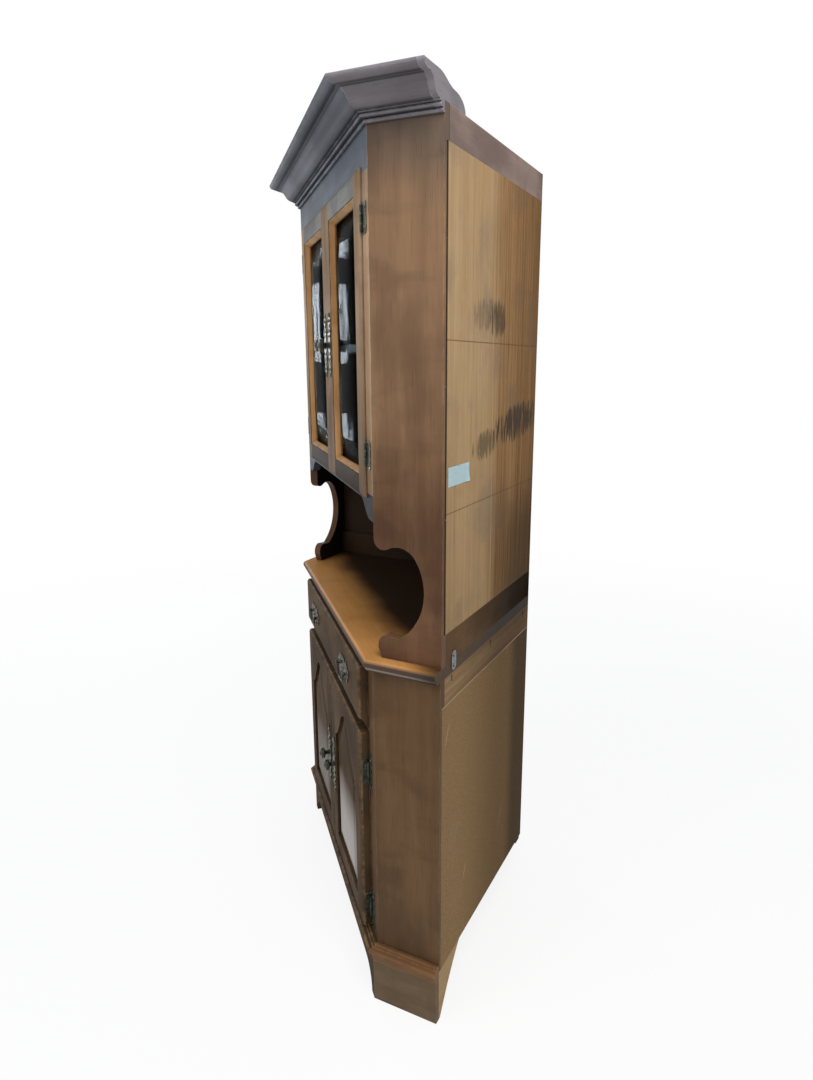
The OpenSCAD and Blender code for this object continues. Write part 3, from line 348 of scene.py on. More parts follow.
# Depth of the counter's bare edge along the walls
BARE_EDGE = 0.0012


def wing_inside(g, colour):
    """Dark stain, darkened further as painted shade, on the inner faces of the upper wings."""
    return g.mix(g.math("GREATER_THAN", wing_depth(g), WING_SKIN), colour, (0.030, 0.020, 0.014))


def counter_finish(g, colour):
    """Painted shade down the moulded nose with a painted highlight low on it, a painted shadow
    under the upper cabinet, and bare edges along the walls with painted shade towards the room's
    corner.
    """
    drop = g.minus(COUNTER_TOP, g.z)
    # Painted shade in bands down the rounded nose
    for start, full, band in NOSE_BANDS:
        colour = g.mix(g.span(drop, start, full, 0.0, 0.9), colour, band)
    # Painted highlight, a pale band low on the nose
    rubbed = g.span(g.offset(drop, NOSE_HIGHLIGHT), 0.0044, 0.0018, 0.0, 0.75, True)
    colour = g.mix(rubbed, colour, (0.330, 0.270, 0.235))
    # Painted shadow of the upper cabinet on the counter
    waver = g.times(g.minus(g.noise(g.place, 7.0, 3, 0.5), 0.5), 0.05)
    deep = g.plus(g.y, waver)
    colour = g.mix(g.span(deep, *SHADE_Y, 0.0, 0.96, True), colour, (0.016, 0.010, 0.009))
    grain = g.noise(g.place, 90.0, 4, 0.6)
    bare = g.mix(grain, (0.050, 0.030, 0.016), (0.100, 0.062, 0.033))
    # Painted shade along the bare edges towards the room's corner
    bare = towards_corner(g, bare, 0.05, 0.40, (0.22, 0.22, 0.24))
    return g.mix(g.math("GREATER_THAN", wall_depth(g), BARE_EDGE), bare, colour)


def wall_rail_finish(g, colour):
    """Low rails darker towards the room's corner as painted shade, paler greyish top rails, and
    dark inner faces, where stain and painted shade go together.
    """
    z = g.z
    low = g.math("LESS_THAN", z, RAILS_PART_Z)
    # Painted shade on the low rails towards the room's corner
    corner_shade = g.times(g.span(wall_run(g), 0.02, 0.42, smooth=True), low)
    colour = tinted(g, colour, corner_shade, (0.09, 0.09, 0.10))
    colour = tinted(g, colour, g.math("GREATER_THAN", z, RAILS_PART_Z), (1.72, 2.25, 4.40))
    # Inner faces: dark stain darkened further as painted shade
    inside = g.math("GREATER_THAN", wall_depth(g), RAIL_SKIN)
    return tinted(g, colour, inside, (0.28, 0.28, 0.30))


# Steps of the crown moulding: height above its foot, half width of the painted shadow line, and
# strength
CROWN_STEPS = ((0.0438, 0.0013, 0.65), (0.0160, 0.0020, 0.5), (0.0066, 0.0012, 0.5))


def crown_lines(g, colour):
    """Painted shadow lines in the steps of the crown moulding."""
    rise = g.minus(g.z, CROWN_Z)
    for z0, half, amount in CROWN_STEPS:
        line = g.span(g.offset(rise, z0), half, 0.4 * half, 0.0, amount)
        colour = g.mix(line, colour, (0.022, 0.021, 0.024))
    return colour


# Dark smudges on the veneer: height, place along the wall, half lengths along and up, and strength
SMUDGES = ((1.457, 0.258, 0.050, 0.036, 0.72), (1.462, 0.195, 0.080, 0.030, 0.35),
           (1.246, 0.390, 0.150, 0.040, 0.95), (1.212, 0.205, 0.070, 0.030, 0.65))
# Heights of the scored lines across the veneer
SCORES = (1.408, 1.101)
# Width of a veneer strip, and where the pale seam runs up near the edge of the first one
STRIP_W = 0.240
SEAM_RUN = 0.236
# Along the wall: where the veneer turns to its darker rear part, and the dark line at its front
REAR_RUN = (0.20, 0.30)
LINE_RUN = (0.0222, 0.0206)


def plywood():
    """Unfinished veneer on the wall side: upright grain, veneer strips, scuffs and dark smudges,
    with painted shade towards the room's corner and towards the bottom.

    The face inside the cabinet is stained dark and darkened further as painted shade.
    """
    g = Graph("plywood")
    z = g.z
    run = wall_run(g)
    strip = g.math("FLOOR", g.over(run, STRIP_W))
    shifted = g.join(run, z, g.times(strip, 3.7))
    streak = g.noise(shifted, (120, 1.5, 1), 6, 0.65, 0.5)
    figure = g.noise(shifted, (9, 1.4, 1), 4, 0.55, 0.9)
    fine = g.noise(shifted, (300, 6, 1), 4, 0.7)
    mottle = g.noise(g.place, 8.0, 5, 0.6)
    dust = g.noise(g.place, 4.0, 5, 0.65)
    rear = g.span(run, *REAR_RUN, smooth=True)
    colour = g.mix(g.span(streak, 0.3, 0.7), (0.385, 0.248, 0.126), (0.500, 0.342, 0.186))
    colour = g.mix(g.span(figure, 0.45, 0.75, 0.0, 0.7), colour, (0.385, 0.238, 0.112))
    dark_grain = g.times(rear, g.span(streak, 0.55, 0.35, 0.0, 0.8))
    colour = g.mix(dark_grain, colour, (0.270, 0.158, 0.075))
    pores = g.span(fine, 0.5, 0.75, 0.0, g.span(rear, 0.0, 1.0, 0.35, 0.7))
    colour = g.mix(pores, colour, (0.12, 0.07, 0.035))
    colour = g.mix(g.span(dust, 0.5, 0.75, 0.0, 0.45), colour, (0.56, 0.41, 0.245))
    colour = g.mix(g.span(mottle, 0.48, 0.68, 0.0, 0.62, True), colour, (0.275, 0.196, 0.130))
    colour = tinted(g, colour, rear, (0.72, 0.62, 0.52))
    # Painted shade towards the room's corner, strongest low down, and darker towards the bottom
    colour = towards_corner(g, colour, 0.32, 0.56, (0.66, 0.62, 0.60))
    low = g.span(z, 1.16, 0.98, smooth=True)
    low_rear = g.times(low, g.span(run, 0.16, 0.42, smooth=True))
    colour = tinted(g, colour, low_rear, (0.50, 0.52, 0.58))
    colour = tinted(g, colour, g.span(z, 1.35, 0.85), (0.80, 0.78, 0.74))
    rag = g.noise(shifted, (125, 13, 1), 5, 0.7, 0.6)
    for z0, run0, half_run, half_z, strength in SMUDGES:
        slope = g.times(g.minus(run, run0), 0.10)
        up = g.over(g.minus(z, g.plus(z0, slope)), half_z)
        beside = g.over(g.minus(run, run0), half_run)
        far = g.plus(g.times(up, up), g.times(beside, beside))
        close = g.span(far, 1.25, 0.0)
        torn = g.span(g.plus(rag, g.times(close, 0.20)), 0.54, 0.66)
        smudge = g.times(torn, g.span(close, 0.0, 0.35, 0.0, strength))
        colour = g.mix(smudge, colour, (0.062, 0.046, 0.034))
    for z0 in SCORES:
        wavy = g.plus(z0, g.times(dust, 0.002))
        score = g.span(g.offset(z, wavy), 0.0017, 0.0006, 0.0, 0.62)
        colour = g.mix(score, colour, (0.10, 0.062, 0.035))
    drift = g.plus(SEAM_RUN, g.times(g.minus(z, 1.3), -0.02))
    seam = g.span(g.offset(run, drift), 0.0026, 0.0008)
    seam = g.times(seam, g.span(figure, 0.4, 0.55))
    colour = g.mix(g.times(seam, 0.45), colour, (0.52, 0.38, 0.23))
    line = g.times(g.span(run, *LINE_RUN), g.span(dust, 0.30, 0.42, 0.45, 0.95))
    colour = g.mix(line, colour, (0.050, 0.030, 0.018))
    # Inside the cabinet: dark stain darkened further as painted shade
    inside = g.math("GREATER_THAN", wall_depth(g), VENEER_SKIN)
    colour = g.mix(inside, colour, (0.034, 0.021, 0.014))
    g.set(Base_Color=colour, Roughness=0.85, Specular_IOR_Level=0.05)
    g.bump(g.plus(streak, g.times(fine, 0.5)), 0.22, 0.0008)
    return g.mat


def hardboard():
    """Brown pressed fibre board with specks and a few scratches, darkened towards the room's corner
    as painted shade.
    """
    g = Graph("hardboard")
    speck = g.noise(g.place, 420.0, 3, 0.75)
    flake = g.noise(g.place, 130.0, 4, 0.7)
    cloud = g.noise(g.place, 5.0, 3, 0.55)
    colour = g.mix(g.span(speck, 0.35, 0.68), (0.165, 0.100, 0.044), (0.345, 0.220, 0.104))
    colour = g.mix(g.span(flake, 0.58, 0.72, 0.0, 0.55), colour, (0.33, 0.222, 0.115))
    colour = g.mix(g.span(cloud, 0.4, 0.7, 0.0, 0.35), colour, (0.24, 0.155, 0.075))
    tilt = g.join(g.dot(g.place, (0.6, 0.6, 1.0)), g.dot(g.place, (0.55, -0.55, 0.3)), 0.0)
    scratch = g.noise(tilt, (5, 240, 1), 2, 0.5)
    gate = g.noise(g.place, 9.0, 2, 0.5)
    mark = g.times(g.span(scratch, 0.67, 0.72), g.span(gate, 0.52, 0.60))
    colour = g.mix(g.times(mark, 0.8), colour, (0.50, 0.40, 0.26))
    # Painted shade towards the room's corner
    colour = towards_corner(g, colour, 0.06, 0.34, (0.60, 0.58, 0.58))
    colour = towards_corner(g, colour, 0.36, 0.44, (0.45, 0.48, 0.52))
    # Pale line just under the top edge
    lip = g.span(g.z, HARDBOARD_TOP - 0.0022, HARDBOARD_TOP - 0.0010)
    pale_top_line = g.times(lip, g.span(cloud, 0.38, 0.48, 0.3, 0.9))
    colour = g.mix(pale_top_line, colour, (0.46, 0.37, 0.26))
    g.set(Base_Color=colour, Roughness=0.8, Specular_IOR_Level=0.05)
    g.bump(g.plus(speck, flake), 0.22, 0.0006)
    return g.mat


def raw(name, axis, base, dark, corner_shade=None):
    """Planed bare wood. The last argument is the run and tint of its painted shade towards the
    room's corner.
    """
    g = Graph(name)
    along = grain_frame(g, axis)
    streak = g.noise(along, (2.4, 60, 60), 6, 0.6, 0.3)
    fine = g.noise(along, (30, 500, 500), 3, 0.6)
    stain = g.noise(g.place, 8.0, 4, 0.6)
    colour = g.mix(g.span(streak, 0.32, 0.68), dark, base)
    colour = g.mix(g.span(fine, 0.55, 0.75, 0.0, 0.35), colour, [0.5 * c for c in dark])
    colour = g.mix(g.span(stain, 0.52, 0.75, 0.0, 0.45), colour, [0.7 * c for c in dark])
    if corner_shade is not None:
        colour = towards_corner(g, colour, *corner_shade)
    g.set(Base_Color=colour, Roughness=0.8, Specular_IOR_Level=0.06)
    g.bump(g.plus(streak, g.times(fine, 0.6)), 0.2, 0.0006)
    return g.mat


# Metal, glass and paper

def old_brass():
    """Antiqued brass: dark hollows, rubbed edges and a little green in the low places."""
    g = Graph("old_brass")
    spot = g.noise(g.place, 210.0, 4, 0.65)
    cloud = g.noise(g.place, 60.0, 3, 0.5)
    edge = worn_edge(g, 0.0008)
    colour = g.mix(g.span(cloud, 0.38, 0.62), (0.012, 0.017, 0.014), (0.046, 0.050, 0.036))
    colour = g.mix(g.span(spot, 0.55, 0.72, 0.0, 0.7), colour, (0.17, 0.165, 0.11))
    rubbed = g.times(edge, g.span(spot, 0.42, 0.55, 0.1, 1.0))
    colour = g.mix(rubbed, colour, (0.46, 0.44, 0.34))
    g.set(Base_Color=colour, Metallic=0.55, Roughness=g.span(spot, 0.35, 0.7, 0.30, 0.48))
    g.set(Specular_IOR_Level=0.25)
    g.bump(g.plus(spot, cloud), 0.25, 0.0004)
    return g.mat


def zinc():
    """Dull zinc plate with a soft crystal pattern."""
    g = Graph("zinc")
    grain = g.noise(g.place, 240.0, 4, 0.6)
    colour = g.mix(g.span(grain, 0.35, 0.65), (0.10, 0.112, 0.125), (0.27, 0.295, 0.32))
    g.set(Base_Color=colour, Metallic=0.95, Roughness=g.span(grain, 0.3, 0.7, 0.34, 0.5))
    g.bump(grain, 0.15, 0.0003)
    return g.mat


def cabinet_glass():
    """Old clear glass, faintly smoky, with slow waves in its surface."""
    g = Graph("cabinet_glass")
    wave = g.noise(g.stretch(g.place, (1, 1, 0.40)), 13.0, 3, 0.5)
    dirt = g.noise(g.place, 14.0, 4, 0.6)
    g.set(Base_Color=g.mix(g.span(dirt, 0.45, 0.75), (0.60, 0.68, 0.76), (0.54, 0.61, 0.68)))
    g.set(Transmission_Weight=1.0, IOR=1.012, Roughness=g.span(dirt, 0.5, 0.8, 0.01, 0.03))
    g.set(Specular_Tint=(0.50, 0.72, 1.0, 1.0))
    g.bump(wave, 0.40, 0.006)
    return g.mat


def paper():
    """Plain pale paper with faint handling marks."""
    g = Graph("plain_paper")
    fibre = g.noise(g.place, 900.0, 3, 0.6)
    smear = g.noise(g.place, 60.0, 3, 0.5)
    colour = g.mix(g.span(smear, 0.5, 0.75, 0.0, 0.5), (0.77, 0.96, 1.00), (0.68, 0.86, 0.95))
    g.set(Base_Color=colour, Roughness=0.7, Specular_IOR_Level=0.2)
    g.bump(fibre, 0.1, 0.0002)
    return g.mat


WING_AXIS = (1, 1, 0)
WALL_AXIS = (-1, 1, 0)

UPPER_WOOD = dict(base=(0.192, 0.106, 0.054), dark=(0.104, 0.055, 0.029),
                  light=(0.275, 0.166, 0.086))
# The stiles and the upper door frames take the same stain made paler, as painted light
STILE_WOOD = dict(base=(0.480, 0.315, 0.184), dark=(0.310, 0.190, 0.108),
                  light=(0.610, 0.425, 0.265), shine=0.02)
DOOR_WOOD = dict(base=(0.322, 0.212, 0.126), dark=(0.190, 0.118, 0.068),
                 light=(0.432, 0.302, 0.190), shine=0.006)
# Below the counter the same stain is made darker as painted shade, and darker still on the fronts
LOWER_WOOD = dict(base=(0.134, 0.074, 0.034), dark=(0.076, 0.041, 0.019),
                  light=(0.186, 0.108, 0.052), shine=0.06)
FRONT_WOOD = dict(base=(0.084, 0.048, 0.023), dark=(0.042, 0.025, 0.013),
                  light=(0.120, 0.072, 0.036), shine=0.012, wear_and_highlight=0.95, crisp=0.014, rub_and_highlight=3.2)
MOULD_WOOD = dict(base=(0.212, 0.104, 0.044), dark=(0.126, 0.061, 0.027),
                  light=(0.285, 0.150, 0.070), shine=0.06)
PLINTH_WOOD = dict(base=(0.158, 0.106, 0.060), dark=(0.102, 0.068, 0.038),
                   light=(0.208, 0.143, 0.084), shine=0.06)
COUNTER_WOOD = dict(base=(0.500, 0.242, 0.074), dark=(0.385, 0.172, 0.048),
                    light=(0.590, 0.313, 0.117), rough=0.42, shine=0.02, wear_and_highlight=0.8)
# The crown front is darker and its sides paler, as painted shade and light, and the crown and
# frieze are tinted blue-grey as a painted reflection
CROWN_WOOD = dict(base=(0.124, 0.130, 0.154), dark=(0.080, 0.082, 0.094),
                  light=(0.168, 0.178, 0.210), shine=0.02, crisp=0.03, rub_and_highlight=2.6)
SIDE_CROWN_WOOD = dict(base=(0.235, 0.218, 0.236), dark=(0.150, 0.135, 0.142),
                       light=(0.315, 0.296, 0.320), shine=0.05, crisp=0.05, wear_and_highlight=0.5)
FRIEZE_WOOD = dict(base=(0.150, 0.168, 0.200), dark=(0.096, 0.106, 0.126),
                   light=(0.198, 0.224, 0.266), shine=0.02)
DARK_WOOD = dict(base=(0.180, 0.102, 0.044), dark=(0.096, 0.052, 0.023),
                 light=(0.240, 0.140, 0.064), shine=0.0)
BEAD_WOOD = dict(base=(0.520, 0.275, 0.108), dark=(0.300, 0.145, 0.052),
                 light=(0.680, 0.395, 0.170), shine=0.05, crisp=0.08)
# Near-black wood inside and behind the cabinet: dark stain darkened further as painted shade
INNER_WOOD = dict(base=(0.034, 0.022, 0.016), dark=(0.022, 0.014, 0.010),
                  light=(0.048, 0.032, 0.023), shine=0.04)
PANEL_POLISH = (0.42, 0.29, 1.0, 0.60)
# The rails of the upper doors are tinted blue-grey as a painted reflection
DOOR_RAILS = rails(0.041, 0.2855, (0.66, 0.98, 1.52))
# Painted light and shade on the upper wings: paler upwards, darker beside the open shelf, paler
# again at the counter, and a darker and greyer painted shadow under the crown
WING_LIGHT_AND_SHADE = by_height((0.95, 1.45, (1.30, 1.37, 1.42)), (1.30, 1.08, (0.58, 0.52, 0.52)),
                      (0.98, 0.88, (1.40, 1.42, 1.42)), (1.60, 1.745, (0.52, 0.62, 0.82)))
# Painted shade: the upper door frames darker low down
DOOR_SHADE = by_height((1.50, 1.15, (0.52, 0.48, 0.45)))
# Painted shade: the low rails of the upper doors darker, losing the painted blue-grey reflection
RAIL_SHADE = by_height((1.26, 1.20, (0.42, 0.32, 0.27)), mask=DOOR_RAILS["mask"])
# Painted shade: the valance darker
VALANCE_SHADE = by_height((1.30, 1.22, (0.24, 0.22, 0.21)))
# Painted shade: the stiles darker low down, with a greyer painted shadow under the crown
STILE_SHADE = by_height((1.45, 1.10, (0.50, 0.46, 0.44)), (1.60, 1.74, (0.62, 0.66, 0.74)))

BRASS = old_brass()
ZINC = zinc()

# Every look with the nodes that have it, {} for either side
LOOKS = (
    (stained("lower_wood_upright", UP, **LOWER_WOOD), "base_wing_{} base_stiles"),
    (stained("front_wood_across", ACROSS, **FRONT_WOOD),
     "base_rails base_moulding_front front_skirt drawer_front"),
    (raw("raw_wood_across", ACROSS, (0.34, 0.235, 0.135), (0.24, 0.155, 0.085)),
     "base_floor base_shelf drawer_runners drawer_box drawer_bottom"),
    (hardboard(), "base_back_{}"),
    (stained("inner_wood_upright", UP, wear_and_highlight=0.1, **INNER_WOOD),
     "base_back_board rear_foot hutch_back_board"),
    # The base back rails take painted shade towards the room's corner
    (raw("raw_wood_wall", WALL_AXIS, (0.330, 0.215, 0.112), (0.215, 0.132, 0.064),
         (0.02, 0.34, (0.40, 0.38, 0.42))), "base_back_rails"),
    (raw("raw_wood_foot", WALL_AXIS, (0.420, 0.290, 0.150), (0.300, 0.195, 0.095)), "foot_returns"),
    (stained("counter_wood", ACROSS, paints=(counter_finish,), **COUNTER_WOOD), "countertop"),
    (stained("mould_wood_sides", WING_AXIS, **MOULD_WOOD), "base_moulding_sides"),
    (stained("plinth_wood_sides", WING_AXIS, **PLINTH_WOOD), "base_plinths"),
    (stained("upper_wood_wings", UP, paints=(wing_inside, WING_LIGHT_AND_SHADE), **UPPER_WOOD),
     "hutch_wing_{}"),
    (stained("upper_wood_stiles", UP, paints=(STILE_SHADE,), **STILE_WOOD), "hutch_stiles"),
    (stained("frieze_wood", ACROSS, paints=(VALANCE_SHADE,), **FRIEZE_WOOD),
     "hutch_frieze hutch_valance"),
    (stained("inner_wood_across", ACROSS, wear_and_highlight=0.1, **INNER_WOOD),
     "hutch_floor hutch_shelf hutch_top"),
    (plywood(), "hutch_back_{}"),
    (stained("dark_wood_wall", WALL_AXIS, wear_and_highlight=0.2, paints=(wall_rail_finish,), **DARK_WOOD),
     "hutch_back_rails"),
    (stained("crown_wood_across", ACROSS, paints=(crown_lines,), **CROWN_WOOD), "crown_front"),
    (stained("crown_wood_sides", WING_AXIS, paints=(crown_lines,), **SIDE_CROWN_WOOD),
     "crown_sides"),
    (stained("crown_wood_ends", WALL_AXIS, **SIDE_CROWN_WOOD), "crown_ends"),
    (stained("upper_door_wood", UP, second=DOOR_RAILS, paints=(DOOR_SHADE, RAIL_SHADE), **DOOR_WOOD),
     "upper_door_{}_frame"),
    (cabinet_glass(), "upper_door_{}_glass"),
    (stained("bead_wood", UP, **BEAD_WOOD), "upper_door_{}_bead"),
    (stained("lower_door_wood", UP, second=rails(0.049, 0.273), **FRONT_WOOD),
     "lower_door_{}_frame"),
    (stained("panel_wood", UP, polish=PANEL_POLISH, **FRONT_WOOD), "lower_door_{}_panel"),
    (ZINC, "mending_plates"),
    (BRASS, "upper_hinge_frames upper_door_{}_hinges upper_door_{}_pull lower_hinge_frames "
            "lower_door_{}_hinges lower_door_{}_pull drawer_pull_plates drawer_bail_{}"),
)


def dress_nodes():
    """Gives every CAD node its material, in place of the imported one."""
    for look, patterns in LOOKS:
        for pattern in patterns.split():
            for name in sorted({pattern.format(side) for side in SIDES}):
                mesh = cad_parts[name].data
                mesh.materials.clear()
                mesh.materials.append(look)


# Mesh helpers

# Turn between two faces from which their edge stays sharp
SHARP_TURN = math.radians(38)


def smooth_loop(points, steps=6):
    """Closed smooth curve through the points."""
    made = []
    count = len(points)
    for i in range(count):
        p0, p1, p2, p3 = (Vector(points[(i + k) % count]) for k in (-1, 0, 1, 2))
        for step in range(steps):
            t = step / steps
            made.append(0.5 * (2 * p1 + (p2 - p0) * t + (2 * p0 - 5 * p1 + 4 * p2 - p3) * t * t
                               + (3 * p1 - p0 - 3 * p2 + p3) * t ** 3))
    return made


def circle(x, z, radius, count=18):
    """Points of a circle around (x, z)."""
    turns = [2 * math.pi * i / count for i in range(count)]
    return [Vector((x + radius * math.cos(a), z + radius * math.sin(a))) for a in turns]


def mirrored(points, across_x, across_z):
    """A quarter or half outline, from top to side, mirrored into a whole closed one."""
    half = list(points)
    if across_z:
        half += [(x, -z) for x, z in reversed(points) if abs(z) > 1e-6]
    if across_x:
        half += [(-x, z) for x, z in reversed(half) if abs(x) > 1e-6]
    return half


def new_object(name, data):
    """Object with this data, in the scene."""
    made = bpy.data.objects.new(name, data)
    bpy.context.scene.collection.objects.link(made)
    return made


def to_mesh(bm, name, outward=True):
    """Mesh of a bmesh, with its faces turned outwards unless they are kept."""
    if outward:
        bmesh.ops.recalc_face_normals(bm, faces=bm.faces)
    mesh = bpy.data.meshes.new(name)
    bm.to_mesh(mesh)
    bm.free()
    return mesh


def curve_mesh(name, curve):
    """The mesh of a curve, without the curve itself."""
    holder = new_object(name, curve)
    bpy.context.view_layer.update()
    shaped = holder.evaluated_get(bpy.context.evaluated_depsgraph_get())
    mesh = bpy.data.meshes.new_from_object(shaped)
    bpy.data.objects.remove(holder)
    bpy.data.curves.remove(curve)
    return mesh


def cut_plate(loops, thick, edge):
    """Pierced plate with softened edges, its back at y = 0 and its face towards -y."""
    curve = bpy.data.curves.new("plate", "CURVE")
    curve.dimensions = "2D"
    curve.fill_mode = "BOTH"
    curve.extrude = thick / 2 - edge
    curve.bevel_depth = edge
    curve.bevel_resolution = 2
    curve.offset = -edge
    for loop in loops:
        spline = curve.splines.new("POLY")
        spline.points.add(len(loop) - 1)
        for point, (x, z) in zip(spline.points, loop):
            point.co = (x, z, 0, 1)
        spline.use_cyclic_u = True
    mesh = curve_mesh("plate", curve)
    mesh.transform(Matrix.Translation((0, -thick / 2, 0)) @ Matrix.Rotation(math.pi / 2, 4, "X"))
    return mesh


def tube(path, radii, closed=False, sides=3):
    """Round bar along a path, thicker or thinner by point."""
    curve = bpy.data.curves.new("tube", "CURVE")
    curve.dimensions = "3D"
    curve.bevel_depth = 1.0
    curve.bevel_resolution = sides
    curve.use_fill_caps = not closed
    spline = curve.splines.new("POLY")
    spline.points.add(len(path) - 1)
    for point, place, radius in zip(spline.points, path, radii):
        point.co = (*place, 1)
        point.radius = radius
    spline.use_cyclic_u = closed
    return curve_mesh("tube", curve)


def rim(loop, height, radius):
    """Raised round edge that follows a flat loop at a height in front of y = 0."""
    return tube([(x, -height, z) for x, z in loop], [radius] * len(loop), True, 1)


def lathe(profile, count=36):
    """Turned form about the -y axis from (radius, reach) points."""
    bm = bmesh.new()
    rows = []
    for radius, reach in profile:
        if radius == 0:
            rows.append([bm.verts.new((0, -reach, 0))])
            continue
        ring = circle(0, 0, radius, count)
        rows.append([bm.verts.new((x, -reach, z)) for x, z in ring])
    for low, high in zip(rows, rows[1:]):
        for i in range(count):
            k = (i + 1) % count
            if len(low) == 1:
                bm.faces.new((low[0], high[k], high[i]))
            elif len(high) == 1:
                bm.faces.new((low[i], low[k], high[0]))
            else:
                bm.faces.new((low[i], low[k], high[k], high[i]))
    if len(rows[0]) > 1:
        bm.faces.new(reversed(rows[0]))
    return to_mesh(bm, "lathe")


def prism(outline, low, high):
    """Flat form from y = -low to y = -high with the outline's x and z."""
    bm = bmesh.new()
    back, front = ([bm.verts.new((x, -y, z)) for x, z in outline] for y in (low, high))
    bm.faces.new(back)
    bm.faces.new(front)
    for i in range(len(outline)):
        k = (i + 1) % len(outline)
        bm.faces.new((back[i], back[k], front[k], front[i]))
    return to_mesh(bm, "prism")


def gather(name, parts):
    """One mesh from (mesh, matrix) pairs, with smooth faces and sharp corners."""
    bm = bmesh.new()
    for mesh, matrix in parts:
        placed = mesh.copy()
        placed.transform(matrix)
        bm.from_mesh(placed)
        bpy.data.meshes.remove(placed)
    whole = to_mesh(bm, name, False)
    whole.polygons.foreach_set("use_smooth", [True] * len(whole.polygons))
    whole.set_sharp_from_angle(angle=SHARP_TURN)
    return whole


def add_piece(name, parts, look, body, replaced=()):
    """Puts a piece made of (mesh, matrix) pairs on a body."""
    mesh = gather(name, parts)
    mesh.materials.append(look)
    piece = new_object(name, mesh)
    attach(piece, body)
    if replaced:
        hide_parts(*replaced)


def at(x, y, z):
    """Matrix that moves a form to a place."""
    return Matrix.Translation((x, y, z))


def facing(place, direction, turn=0.0):
    """Matrix that sets a form made towards -y on a place, facing a direction."""
    y = -Vector(direction).normalized()
    x = y.cross(Vector(UP)).normalized()
    z = x.cross(y)
    spin = Matrix.Rotation(turn, 4, "Y")
    return Matrix.Translation(place) @ Matrix((x, y, z)).transposed().to_4x4() @ spin


# Fittings

PLATE_T = 0.0018
RIM_R = 0.0006

# Quarter outline of a door pull's plate in shares of its half width and half height
PULL_QUARTER = [(0, 1.0), (0.30, 0.965), (0.34, 0.915), (0.14, 0.885), (0.40, 0.850), (0.82, 0.790),
                (0.90, 0.715), (0.58, 0.650), (0.34, 0.600), (0.44, 0.555), (0.84, 0.490),
                (0.98, 0.400), (0.80, 0.320), (0.46, 0.275), (0.50, 0.235), (0.84, 0.170),
                (1.0, 0.080), (0.98, 0.0)]
# Holes of the plate: (x, z, radius) in shares of the half width, half height and half width
PULL_HOLES = [(0.0, 0.760, 0.20), (0.52, 0.735, 0.17), (0.0, 0.480, 0.17), (0.55, 0.420, 0.20),
              (0.0, 0.300, 0.12), (0.0, 0.930, 0.10)]

KNOB_PROFILE = [(0.0085, 0.0), (0.0085, 0.0010), (0.0066, 0.0020), (0.0050, 0.0034),
                (0.0046, 0.0080), (0.0060, 0.0112), (0.0098, 0.0126), (0.0130, 0.0136),
                (0.0139, 0.0150), (0.0139, 0.0166), (0.0131, 0.0174), (0.0131, 0.0184),
                (0.0138, 0.0192), (0.0138, 0.0214), (0.0128, 0.0228), (0.0106, 0.0230),
                (0.0098, 0.0224), (0.0088, 0.0230), (0.0060, 0.0250), (0.0, 0.0259)]


def plate_outline(shape, half_w, half_h):
    """Smooth outline from points in shares of the half width and half height."""
    return smooth_loop([(x * half_w, z * half_h) for x, z in shape], 5)


def pull_loops(half_w, half_h):
    """Outline and holes of a pierced door plate."""
    outline = plate_outline(mirrored(PULL_QUARTER, True, True), half_w, half_h)
    holes = []
    for x, z, radius in PULL_HOLES:
        for sign_z in (-1, 1):
            for sign_x in ((-1, 1) if x else (1,)):
                holes.append(circle(sign_x * x * half_w, sign_z * z * half_h, radius * half_w, 14))
    return [outline] + holes


def make_door_pull(door):
    """Pierced plate and turned knob of a door, in place of its plain CAD pull."""
    node = door + "_pull"
    low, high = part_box(node)
    middle = (low + high) / 2
    half_w, half_h = (high.x - low.x) / 2, (high.z - low.z) / 2
    loops = pull_loops(half_w - RIM_R, half_h - RIM_R)
    here = at(middle.x, high.y, middle.z)
    parts = [(cut_plate(loops, PLATE_T, 0.0004), here)]
    parts += [(rim(loop, PLATE_T, RIM_R), here) for loop in loops]
    parts.append((lathe(KNOB_PROFILE), at(middle.x, high.y - PLATE_T, middle.z)))
    add_piece(node + "_detail", parts, BRASS, door, (node,))


# Half outline of a drawer plate in shares of its half width and half height, from top to bottom
BATWING_HALF = [(0, 0.80), (0.12, 1.0), (0.25, 0.84), (0.31, 0.62), (0.44, 0.86), (0.60, 0.88),
                (0.71, 0.62), (0.70, 0.42), (0.84, 0.46), (0.97, 0.22), (0.98, -0.04),
                (0.84, -0.22), (0.74, -0.24), (0.80, -0.50), (0.68, -0.80), (0.50, -0.76),
                (0.36, -0.52), (0.24, -0.74), (0.12, -0.98), (0, -0.84)]
BATWING_HOLES = [(0.20, 0.42, 0.052), (0.50, 0.46, 0.055), (0.84, 0.08, 0.045),
                 (0.46, -0.34, 0.055), (0.17, -0.40, 0.048)]
POST_PROFILE = [(0.0064, 0.0), (0.0064, 0.0008), (0.0052, 0.0016), (0.0040, 0.0024),
                (0.0036, 0.0034), (0.0043, 0.0046), (0.0047, 0.0068), (0.0043, 0.0090),
                (0.0030, 0.0105), (0.0, 0.0111)]
POST_HALF = 0.035
BOSS_PROFILE = [(0.0048, PLATE_T - 0.0004), (0.0044, 0.0030), (0.0026, 0.0040), (0, 0.0044)]


